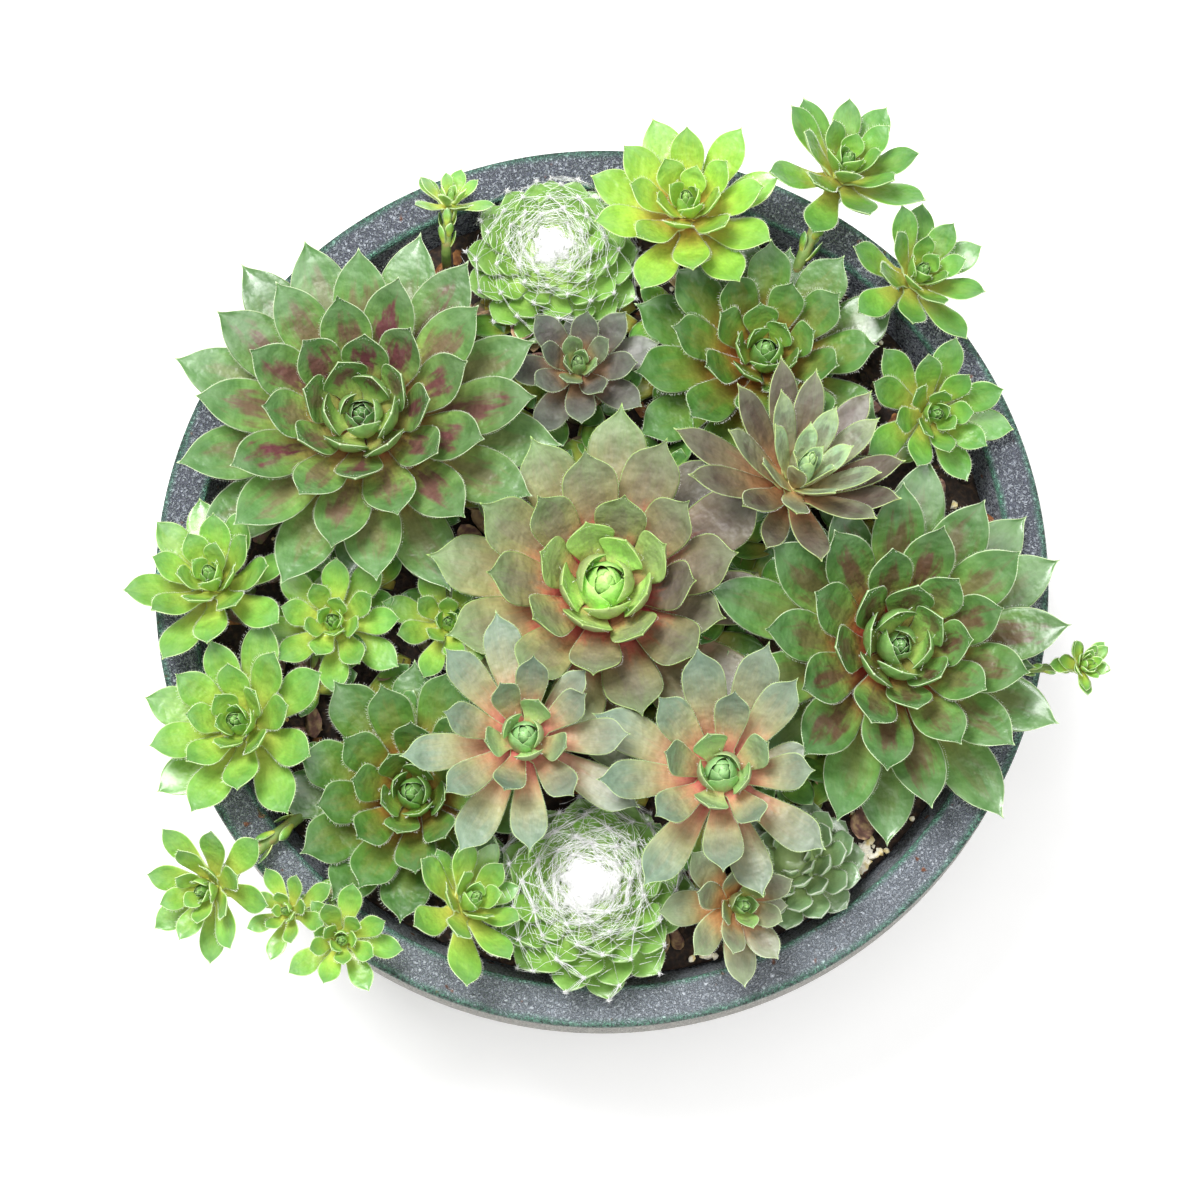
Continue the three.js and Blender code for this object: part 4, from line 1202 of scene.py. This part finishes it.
def smooth_path(knots):
    """A smooth curve through the knots, with the same number of steps from each to the next."""
    knots = [np.asarray(knot, float) for knot in knots]
    ends = [2 * knots[0] - knots[1], *knots, 2 * knots[-1] - knots[-2]]
    path = []
    for a, b, c, d in zip(ends, ends[1:], ends[2:], ends[3:]):
        for u in np.arange(STEM_STEPS) / STEM_STEPS:
            path.append(
                0.5 * (2 * b + (c - a) * u + (2 * a - 5 * b + 4 * c - d) * u**2
                       + (3 * b - a - 3 * c + d) * u**3)
            )
    return np.array([*path, knots[-1]])


def add_tube(skin, path, radii, sides, slot=0):
    """Closed tube along a path, with one radius or a radius for each of its points."""
    path = np.asarray(path, float)
    tangent = np.gradient(path, axis=0)
    tangent /= np.maximum(np.linalg.norm(tangent, axis=1, keepdims=True), 1e-9)
    side = np.cross(tangent, TUBE_GUIDE)
    side /= np.linalg.norm(side, axis=1, keepdims=True)
    other = np.cross(tangent, side)
    turns = even_turns(sides)[None, :, None]
    radii = np.broadcast_to(np.asarray(radii, float), (len(path),))[:, None, None]
    rings = path[:, None] + radii * (np.cos(turns) * side[:, None] + np.sin(turns) * other[:, None])
    skin.add(rings.reshape(-1, 3), tube_faces(len(path), sides), slot)


def stem_paths(plant, heads):
    """The stem of a plant, or its runner from the soil over to each crown."""
    x, y = plant["root"] or (plant["x"], plant["y"])
    root = np.array([x, y, soil_height(x, y)])
    foot = root - (0, 0, STEM_DEPTH)
    crown, *others = [np.array([h["x"], h["y"], POT_HEIGHT + h["lift"]]) for h in heads]
    if plant["root"] is None:
        return [smooth_path([foot, root, crown])]
    bend_height = max(root[2] + STEM_NECK, crown[2] - RUNNER_DROP - plant["arch"])
    bend = np.array([x, y, bend_height])
    middle = (bend + crown) / 2
    middle[2] = crown[2] - plant["arch"] / 5
    paths = [smooth_path([foot, bend, middle, crown])]
    return paths + [smooth_path([middle, (middle + other) / 2, other]) for other in others]


# Short leaves clothe the upper part of a runner, leaning forward along it.
STEM_LEAF_PLACES = np.linspace(0.46, 0.92, 12)
FORWARD, OUTWARD = 0.8, 0.6


def add_stem_leaves(skin, path, radius, draw):
    for number, share in enumerate(STEM_LEAF_PLACES):
        at = share * (len(path) - 1)
        here = int(at)
        ahead = path[here + 1] - path[here]
        foot = path[here] + ahead * (at - here)
        ahead /= np.linalg.norm(ahead)
        side = np.cross(ahead, (0.0, 0.0, 1.0))
        side /= np.linalg.norm(side)
        turn = number * GOLDEN_ANGLE + draw.uniform(-0.2, 0.2)
        outward = math.cos(turn) * side + math.sin(turn) * np.cross(side, ahead)
        length = radius * draw.uniform(2.8, 4.4)
        points, faces, marks = small_leaf(length, radius * 1.05, 0.8, 0.7, 0.3)
        lean = FORWARD * ahead + OUTWARD * outward
        inward = FORWARD * outward - OUTWARD * ahead
        points = points @ np.stack([lean, np.cross(inward, lean), -inward])
        # A middling share of the mauve painted shade.
        marks.update(age=0.6, chance=draw.uniform(0, 1), sun=0.5)
        skin.add(points + foot + outward * radius * 0.7, faces, LEAF_SLOT, marks)


# The small offset on the long runner keeps its young leaves close round its bud.
YOUNG_LEAVES = {"chick_runner": 15}


def add_young_leaves(skin, head, kind, count, draw):
    """Short pointed leaves in a spiral round the bud, from steep inner to flat outer ones."""
    size = head["radius"]
    for number in range(count):
        share = number / (count - 1)
        length = size * (0.42 + 0.38 * share)
        points, faces, marks = small_leaf(length, length * 0.27, 1.0, 0.5, 0.5)
        points = turned(points, (0, 1, 0), -(72 - 62 * share) * DEG)
        points = points + (size * (0.07 + 0.05 * share), 0, 0)
        points = turned(points, (0, 0, 1), number * GOLDEN_ANGLE + 0.9)
        points = points + (0, 0, size * kind["core_height"] * (1 - 0.6 * share))
        # A middling share of the mauve painted shade.
        marks.update(age=0.15 + 0.6 * share, chance=draw.uniform(0, 1), sun=0.4)
        skin.add(placed(head, points), faces, LEAF_SLOT, marks)


def add_stems(skin, plant, heads, draw):
    for path in stem_paths(plant, heads):
        bumps = 1 + 0.05 * np.sin(np.arange(len(path)) * 1.9 + draw.uniform(0, 6))
        add_tube(skin, path, plant["stem"] * 0.96 * bumps, STEM_SIDES, STEM_SLOT)
        if plant["root"] is not None:
            add_stem_leaves(skin, path, plant["stem"], draw)


# ---------------------------------------------------------------- cobweb threads

# Thread sizes in millimetres. Lengths and distances are shares of the rosette's radius.
THREAD_RADIUS = 0.062
WISP_RADIUS = 0.06
TUFT_RADIUS = 0.13
TUFT_RAYS = 44
WISPS = 2100
SPOKES = 320
TIER = 0.10
NEIGHBOURS = 8
LONGEST_THREAD = 0.36
SPOKE_SPAN = (0.2, 0.62)
WISP_SPREAD = 0.36
INNERMOST_TUFTS = 0.35
WOOL = {"cobweb_top": 0.6, "cobweb_bottom": 1.0}


def head_axis(head):
    """Foot of a rosette's own axis, and the way it points."""
    middle, above = placed(head, np.array([(0.0, 0.0, 0.0), (0.0, 0.0, 1.0)]))
    return middle, above - middle


def add_thread(skin, start, end, rise, radius):
    """One thread drawn tight between two points, with a slight bow."""
    middle = (start + end) / 2 + rise
    add_tube(skin, [start, middle, end], [radius, radius * 0.8, radius], 3, WOOL_SLOT)


def add_web(skin, head, tips, draw, wool):
    """Threads from each leaf tip to the next ones of its tier, wisps closing to felt over the
    middle, and a tuft at each tip."""
    size = head["radius"]
    middle, upward = head_axis(head)
    away = np.linalg.norm(np.cross(tips - middle, upward), axis=1) / size
    reach = away.max()
    for i, tip in enumerate(tips):
        gaps = np.linalg.norm(tips - tip, axis=1)
        for j in np.argsort(gaps)[1 : NEIGHBOURS + 1]:
            if gaps[j] > LONGEST_THREAD * size:
                continue
            same_tier = math.exp(-(((away[i] - away[j]) / TIER) ** 2))
            thinning = 1 - 0.2 * (away[i] / reach) ** 2
            crossing = 0.9 * (1 - 0.6 * away[i] / reach)
            for _ in range(draw.poisson(wool * (6.6 * same_tier * thinning + 1.3 * crossing))):
                start = tip + draw.normal(0, 0.3, 3)
                end = tips[j] + draw.normal(0, 0.3, 3)
                rise = upward * gaps[j] * draw.uniform(-0.02, 0.10) + draw.normal(0, 0.55, 3)
                add_thread(skin, start, end, rise, THREAD_RADIUS * draw.uniform(0.5, 1.2))

    # Spokes run outward from one tier's tips to those two or three tiers below.
    shortest, longest = SPOKE_SPAN
    for _ in range(int(wool * SPOKES)):
        i, j = draw.integers(0, len(tips), 2)
        gap = np.linalg.norm(tips[i] - tips[j]) / size
        if abs(away[i] - away[j]) > 0.6 * gap and shortest < gap < longest:
            rise = upward * gap * size * draw.uniform(0, 0.06) + draw.normal(0, 0.5, 3)
            add_thread(skin, tips[i], tips[j], rise, THREAD_RADIUS * draw.uniform(0.6, 1.1))

    # Wisps lie on the dome through the tips and thin out from the middle.
    heights = (tips - middle) @ upward
    order = np.argsort(away)
    for _ in range(int(wool * WISPS)):
        share = abs(draw.normal(0, WISP_SPREAD))
        if share > 0.98:
            continue
        turn = draw.uniform(0, 2 * math.pi)
        length = draw.uniform(2.0, 7.0) * (0.6 + 0.5 * share)
        heading = turn + draw.uniform(1.0, 2.1)
        ends = []
        for step in (-0.5, 0.5):
            x = share * reach * size * math.cos(turn) + step * length * math.cos(heading)
            y = share * reach * size * math.sin(turn) + step * length * math.sin(heading)
            level = np.interp(math.hypot(x, y) / size, away[order], heights[order])
            ends.append((x, y, level + draw.uniform(-0.3, 0.8)))
        start, end = placed(head, np.array(ends))
        add_thread(skin, start, end, draw.normal(0, 0.25, 3), WISP_RADIUS * draw.uniform(0.7, 1.5))

    for tip, distance in zip(tips, away):
        rays = TUFT_RAYS if distance > INNERMOST_TUFTS * reach else TUFT_RAYS // 3
        direction = draw.normal(0, 1, (rays, 3)) + upward * 0.8
        direction /= np.linalg.norm(direction, axis=1, keepdims=True)
        ends = tip + direction * draw.uniform(0.4, 2.2, (rays, 1))
        add_spikes(skin, np.repeat(tip[None], rays, 0), ends, TUFT_RADIUS, WOOL_SLOT)


FELT_RADIUS = 0.26
FELT_RINGS = 16
FELT_AROUND = 48


def add_felt(skin, head, tips, draw, wool):
    """The solid white wool over the youngest leaves of a cobweb rosette."""
    size = head["radius"]
    middle, upward = head_axis(head)
    top = np.max((tips - middle) @ upward)
    turns = even_turns(FELT_AROUND)
    rings = []
    for share in np.arange(1, FELT_RINGS + 1) / FELT_RINGS:
        ragged = 0.18 * np.sin(3 * turns + 1.3) + 0.16 * np.sin(7 * turns)
        ragged = ragged + 0.08 * draw.normal(0, 1, FELT_AROUND)
        radius = FELT_RADIUS * wool**0.4 * size * share * (1 + ragged * share)
        height = top + 0.3 - 0.12 * size * share**2.2 + 0.30 * draw.normal(0, 1, FELT_AROUND)
        rings.append(ring_at(turns, radius, height))
    points = np.vstack([*rings, (0, 0, top + 0.4), (0, 0, top - 0.2 * size)])
    skin.add(placed(head, points), dome_faces(FELT_RINGS, FELT_AROUND), WOOL_SLOT)


# ---------------------------------------------------------------- bowl


def bowl_profile():
    """Section of the bowl from the foot's centre, over the rim, to the floor's centre."""

    def rounded(out, up, radius, start, end):
        turns = np.linspace(start, end, 5) * DEG
        return [(out + radius * math.cos(a), up + radius * math.sin(a)) for a in turns]

    edge = POT_HEIGHT - RIM_EDGE
    profile = [(0.0, 0.0), (FOOT_RADIUS * 0.5, 0.0)]
    profile += rounded(FOOT_RADIUS - FOOT_EDGE, FOOT_EDGE, FOOT_EDGE, -90, -5)
    for share in np.linspace(0.1, 0.97, 12):
        radius = FOOT_RADIUS + (WALL_TOP_RADIUS - FOOT_RADIUS) * share
        profile.append((radius, FOOT_EDGE + (COLLAR_FOOT - FOOT_EDGE) * share))
    profile += [
        (WALL_TOP_RADIUS, COLLAR_FOOT),
        (RIM_RADIUS - RIM_EDGE * 1.6, COLLAR_FOOT + 1.2 * RIM_EDGE),
        (RIM_RADIUS - RIM_EDGE * 0.5, COLLAR_FOOT + 2.2 * RIM_EDGE),
        (RIM_RADIUS, COLLAR_FOOT + 4 * RIM_EDGE),
        (RIM_RADIUS, COLLAR_FOOT + COLLAR_DEPTH * 0.6),
    ]
    profile += rounded(RIM_RADIUS - RIM_EDGE, edge, RIM_EDGE, 0, 90)
    profile += [(INNER_RADIUS + RIM_WIDTH * share, POT_HEIGHT) for share in (0.8, 0.6, 0.4, 0.2)]
    profile += rounded(INNER_RADIUS + RIM_EDGE, edge, RIM_EDGE, 90, 180)
    for share in (0.15, 0.4, 0.7):
        radius = INNER_RADIUS + (FLOOR_RADIUS - INNER_RADIUS) * share
        profile.append((radius, edge + (FLOOR_THICKNESS - POT_HEIGHT) * share))
    return profile + [(FLOOR_RADIUS * share, FLOOR_THICKNESS) for share in (1, 0.5, 0)]


def lathe(skin, profile, sides):
    """Turns a profile that starts and ends on the axis."""
    ends = [(0, 0, profile[0][1]), (0, 0, profile[-1][1])]
    points = np.vstack([revolved(profile[1:-1], sides), ends])
    skin.add(points, [face[::-1] for face in dome_faces(len(profile) - 2, sides)])


def drilled(piece):
    """Cuts the drain holes through the bowl's floor."""
    cutter_skin = Skin()
    for turn in even_turns(DRAIN_COUNT):
        x, y = DRAIN_CIRCLE * math.cos(turn), DRAIN_CIRCLE * math.sin(turn)
        path = [(x, y, z) for z in (-3.0, FLOOR_THICKNESS / 2, FLOOR_THICKNESS + 3.0)]
        add_tube(cutter_skin, path, DRAIN_RADIUS, DRAIN_SIDES)
    cutter = cutter_skin.piece("drain_cutter", [])
    cut = piece.modifiers.new("drains", "BOOLEAN")
    cut.operation = "DIFFERENCE"
    cut.solver = "EXACT"
    cut.object = cutter
    graph = bpy.context.evaluated_depsgraph_get()
    drilled_mesh = bpy.data.meshes.new_from_object(piece.evaluated_get(graph))
    piece.modifiers.clear()
    piece.data = drilled_mesh
    bpy.data.objects.remove(cutter)
    return piece


# ---------------------------------------------------------------- soil

SOIL_RINGS = 64
SOIL_AROUND = 200
SHOULDER_FROM = 0.93
WALL_SLOPE = (INNER_RADIUS - FLOOR_RADIUS) / (POT_HEIGHT - FLOOR_THICKNESS)
GOLDEN_RATIO = (1 + math.sqrt(5)) / 2


def soil_radius(z):
    """How far out the soil reaches, just inside the bowl's wall."""
    return FLOOR_RADIUS + (z - FLOOR_THICKNESS) * WALL_SLOPE - 2 * SOIL_GAP


def add_soil(skin, draw):
    """Lumpy top of the soil, closed below by the shape of the bowl's inside."""
    edge = soil_radius(SOIL_EDGE_HEIGHT - SOIL_SHOULDER)
    turns = even_turns(SOIL_AROUND)
    rings = []
    for share in np.linspace(0, 1, SOIL_RINGS + 1)[1:]:
        x, y = edge * share * np.cos(turns), edge * share * np.sin(turns)
        crumb = np.sin(x * 0.9 + 2 * np.sin(y * 0.35)) * np.sin(y * 1.1 + 2 * np.sin(x * 0.41))
        z = soil_height(x, y) + 0.35 * crumb + draw.normal(0, 0.28, SOIL_AROUND)
        drop = np.clip((share - SHOULDER_FROM) / (1 - SHOULDER_FROM), 0, 1) ** 2
        rings.append(np.stack([x, y, z - SOIL_SHOULDER * drop], -1))
    bottom = FLOOR_THICKNESS + SOIL_GAP
    rings.append(ring_at(turns, soil_radius(bottom), bottom))
    points = np.vstack([*rings, (0, 0, soil_height(0, 0)), (0, 0, bottom)])
    skin.add(points, dome_faces(len(rings), SOIL_AROUND))


def pebble_form():
    """Corners and faces of a twenty-sided grain of radius one."""
    g = GOLDEN_RATIO
    corners = np.array(
        [(-1, g, 0), (1, g, 0), (-1, -g, 0), (1, -g, 0), (0, -1, g), (0, 1, g), (0, -1, -g),
         (0, 1, -g), (g, 0, -1), (g, 0, 1), (-g, 0, -1), (-g, 0, 1)], float
    )
    corners /= np.linalg.norm(corners[0])
    faces = [
        (0, 11, 5), (0, 5, 1), (0, 1, 7), (0, 7, 10), (0, 10, 11), (1, 5, 9), (5, 11, 4),
        (11, 10, 2), (10, 7, 6), (7, 1, 8), (3, 9, 4), (3, 4, 2), (3, 2, 6), (3, 6, 8),
        (3, 8, 9), (4, 9, 5), (2, 4, 11), (6, 2, 10), (8, 6, 7), (9, 8, 1),
    ]
    return corners, faces


def add_grain(skin, x, y, size, stretch, slot, draw):
    """One loose grain or chip lying on the soil, uneven and turned at random."""
    corners, faces = pebble_form()
    points = corners * (1 + draw.uniform(-0.25, 0.25, (len(corners), 1))) * stretch * size
    points = turned(points, (1, 0, 0), draw.uniform(-0.5, 0.5))
    points = turned(points, (0, 0, 1), draw.uniform(0, 2 * math.pi))
    height = soil_height(x, y) + 0.35 * size * stretch[2]
    skin.add(points + (x, y, height), faces, slot)


SOIL_REACH = 131

# Dry old leaves lie on the soil, thin and curled up, and green ones in the shade of the
# rosettes. How many there are and how far out, their length, and their width as a share of it,
# their flesh, curl and cup, how they are tipped, how high they are, their age, and how much of
# the mauve painted shade of a rosette's right side they take.
LOW_LEAVES = (
    dict(
        slot=WITHERED_SLOT, count=260, reach=SOIL_REACH - 10, length=(10, 21),
        width=(0.18, 0.28), flesh=0.6, curl=(0.3, 1.3), cup=(0.2, 0.8), height=(0.8, 3.5),
        tipped=[((1, 0, 0), -0.7, 0.7)], age=0, sun=0,
    ),
    dict(
        slot=LOW_LEAF_SLOT, count=330, reach=SOIL_REACH - 24, length=(13, 22),
        width=(0.22, 0.30), flesh=1.4, curl=(0.2, 0.7), cup=(0.1, 0.4), height=(0.5, 6),
        tipped=[((0, 1, 0), -0.5, -0.05), ((1, 0, 0), -0.4, 0.4)], age=0.9, sun=0.3,
    ),
)

# Where perlite has washed together: place, spread and number of grains.
PERLITE_CLUSTERS = [(88, -94, 4.5, 46), (35, -124, 4, 20), (-34, -126, 4, 16), (120, 20, 6, 8)]
PERLITE_STRETCH = (1, 1, 0.85)

# Loose perlite, crumbs of the mix and bark chips: slot, how many, their sizes, their shape.
LOOSE_GRAINS = (
    (PERLITE_SLOT, 260, 0.4, 1.1, (1, 1, 0.8)),
    (MIX_SLOT, 520, 0.8, 2.2, (1.2, 0.9, 0.7)),
    (BARK_SLOT, 90, 1.6, 3.6, (1.6, 0.8, 0.25)),
)


def scattered(count, reach, draw):
    """Random places on the soil, evenly spread."""
    for _ in range(count):
        out = reach * math.sqrt(draw.uniform(0, 1))
        turn = draw.uniform(0, 2 * math.pi)
        yield out * math.cos(turn), out * math.sin(turn)


def add_low_leaf(skin, x, y, leaf, draw):
    """One leaf low over the soil, turned at random."""
    length = draw.uniform(*leaf["length"])
    points, faces, marks = small_leaf(
        length, length * draw.uniform(*leaf["width"]), leaf["flesh"],
        draw.uniform(*leaf["curl"]), draw.uniform(*leaf["cup"]),
    )
    for axis, least, most in (*leaf["tipped"], ((0, 0, 1), 0, 2 * math.pi)):
        points = turned(points, axis, draw.uniform(least, most))
    marks.update(age=leaf["age"], chance=draw.uniform(0, 1), sun=leaf["sun"])
    height = soil_height(x, y) + draw.uniform(*leaf["height"])
    skin.add(points + (x, y, height), faces, leaf["slot"], marks)


def add_litter(skin, draw):
    """Withered and low leaves, perlite, crumbs and bark chips on the soil."""
    for leaf in LOW_LEAVES:
        for x, y in scattered(leaf["count"], leaf["reach"], draw):
            add_low_leaf(skin, x, y, leaf, draw)
    for x, y, spread, count in PERLITE_CLUSTERS:
        for _ in range(count):
            px, py = draw.normal((x, y), spread)
            if math.hypot(px, py) < SOIL_REACH:
                size = draw.uniform(0.9, 1.9)
                add_grain(skin, px, py, size, PERLITE_STRETCH, PERLITE_SLOT, draw)
    for slot, count, least, most, stretch in LOOSE_GRAINS:
        for x, y in scattered(count, SOIL_REACH, draw):
            add_grain(skin, x, y, draw.uniform(least, most), stretch, slot, draw)


# ---------------------------------------------------------------- making the pieces

bowl_skin = Skin()
lathe(bowl_skin, bowl_profile(), POT_SIDES)
bowl = drilled(bowl_skin.piece("bowl", [bowl_finish()]))
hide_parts("pot")

leaf_skins = {
    name: leaf_skin(f"waxy_leaf_{name}", colours) for name, colours in LEAF_FINISHES.items()
}
soil_draw = np.random.default_rng(7)
soil_skin = Skin()
add_soil(soil_skin, soil_draw)
add_litter(soil_skin, soil_draw)
litter_materials = [
    grained("perlite_grain"), grained("pine_bark_chip"), withered_leaf(), leaf_skins["leafy"]
]
soil_smooth = (MIX_SLOT, WITHERED_SLOT, LOW_LEAF_SLOT)
soil = soil_skin.piece("potting_soil", [potting_mix(), *litter_materials], soil_smooth)
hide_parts("soil")

shared_names = ("white_leaf_hair", "runner_stem_skin", "cobweb_wool")
shared_materials = [grained(name) for name in shared_names]
for number, values in enumerate(PLANTS):
    plant = dict(zip(FIELDS, values))
    kind = KINDS[plant["kind"]]
    heads = [plant, *SECOND_HEADS.get(plant["name"], [])]
    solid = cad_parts[plant["name"]].data.vertices
    solid_tips = KDTree(len(solid))
    for index, vertex in enumerate(solid):
        solid_tips.insert(vertex.co / MM, index)
    solid_tips.balance()
    draw = np.random.default_rng(100 + number)
    skin = Skin()
    for which, head in enumerate(heads):
        add_core(skin, head, kind)
        tips = []
        for leaf in leaves_of(head, kind, FIRST_SEED + 10 * number + which):
            form = form_of(head, leaf, solid_tips)
            if form is None:
                continue
            if not tips and kind["outline"] != "scale":
                add_bud(skin, head, leaf, form, kind, draw)
            tips.append(add_blade(skin, head, leaf, form, kind, draw))
            add_fringe(skin, head, leaf, form, kind, draw)
        if plant["name"] in WOOL:
            add_felt(skin, head, np.array(tips), draw, WOOL[plant["name"]])
            add_web(skin, head, np.array(tips), draw, WOOL[plant["name"]])
    add_stems(skin, plant, heads, draw)
    if plant["name"] in YOUNG_LEAVES:
        add_young_leaves(skin, plant, kind, YOUNG_LEAVES[plant["name"]], draw)
    materials = [leaf_skins[plant["finish"]], *shared_materials]
    smooth = (LEAF_SLOT, STEM_SLOT, WOOL_SLOT)
    rosette = skin.piece("plant_" + plant["name"], materials, smooth)
    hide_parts(plant["name"])

# ---------------------------------------------------------------- floor, light and camera

# Metres and watts. The film's width is in millimetres, and the rim's radius is a share of the
# picture's width.
HALF_FLOOR = 4.0
SKY_STRENGTH = 0.42
RIM_CENTRE = Vector((0, 0, POT_HEIGHT * MM))
SOFTBOXES = (
    # name, place, side, watts
    ("key", (-0.5, 0.55, 1.8), 0.75, 47),
    ("top", (0.2, -0.3, 1.95), 1.1, 12),
    ("fill", (0.9, -0.7, 1.5), 1.2, 8),
)
CAMERA_DISTANCE = 1.6
CAMERA_TILT = 11.1 * DEG
CAMERA_AIM = Vector((-0.0006, -0.0066, POT_HEIGHT * MM))
FILM_WIDTH = 36
RIM_SHARE = 447 / 1200

floor_mesh = bpy.data.meshes.new("floor")
floor_mesh.from_pydata(
    [(x * HALF_FLOOR, y * HALF_FLOOR, 0) for x, y in ((-1, -1), (1, -1), (1, 1), (-1, 1))],
    [], [(0, 1, 2, 3)],
)
floor = bpy.data.objects.new("floor", floor_mesh)
bpy.context.scene.collection.objects.link(floor)
floor.data.materials.append(grained("white_paper"))

world = bpy.data.worlds.new("studio")
bpy.context.scene.world = world
world.use_nodes = True
sky = world.node_tree.nodes["Background"].inputs
sky["Color"].default_value = (1.0, 1.0, 1.0, 1.0)
sky["Strength"].default_value = SKY_STRENGTH


def aimed(name, data, place, target):
    """A lamp or the camera in its place, turned to its target."""
    thing = bpy.data.objects.new(name, data)
    thing.location = place
    thing.rotation_euler = (target - Vector(place)).to_track_quat("-Z", "Y").to_euler()
    bpy.context.scene.collection.objects.link(thing)
    return thing


for name, place, side, watts in SOFTBOXES:
    light = bpy.data.lights.new(name, "AREA")
    light.shape = "SQUARE"
    light.size = side
    light.energy = watts
    aimed(name, light, place, RIM_CENTRE)

camera_data = bpy.data.cameras.new("camera")
camera_data.sensor_width = FILM_WIDTH
camera_data.lens = FILM_WIDTH * RIM_SHARE * CAMERA_DISTANCE / (RIM_RADIUS * MM)
away, above = CAMERA_DISTANCE * math.sin(CAMERA_TILT), CAMERA_DISTANCE * math.cos(CAMERA_TILT)
camera_place = (0, -away, POT_HEIGHT * MM + above)
bpy.context.scene.camera = aimed("camera", camera_data, camera_place, CAMERA_AIM)
bpy.context.scene.view_settings.view_transform = "Standard"
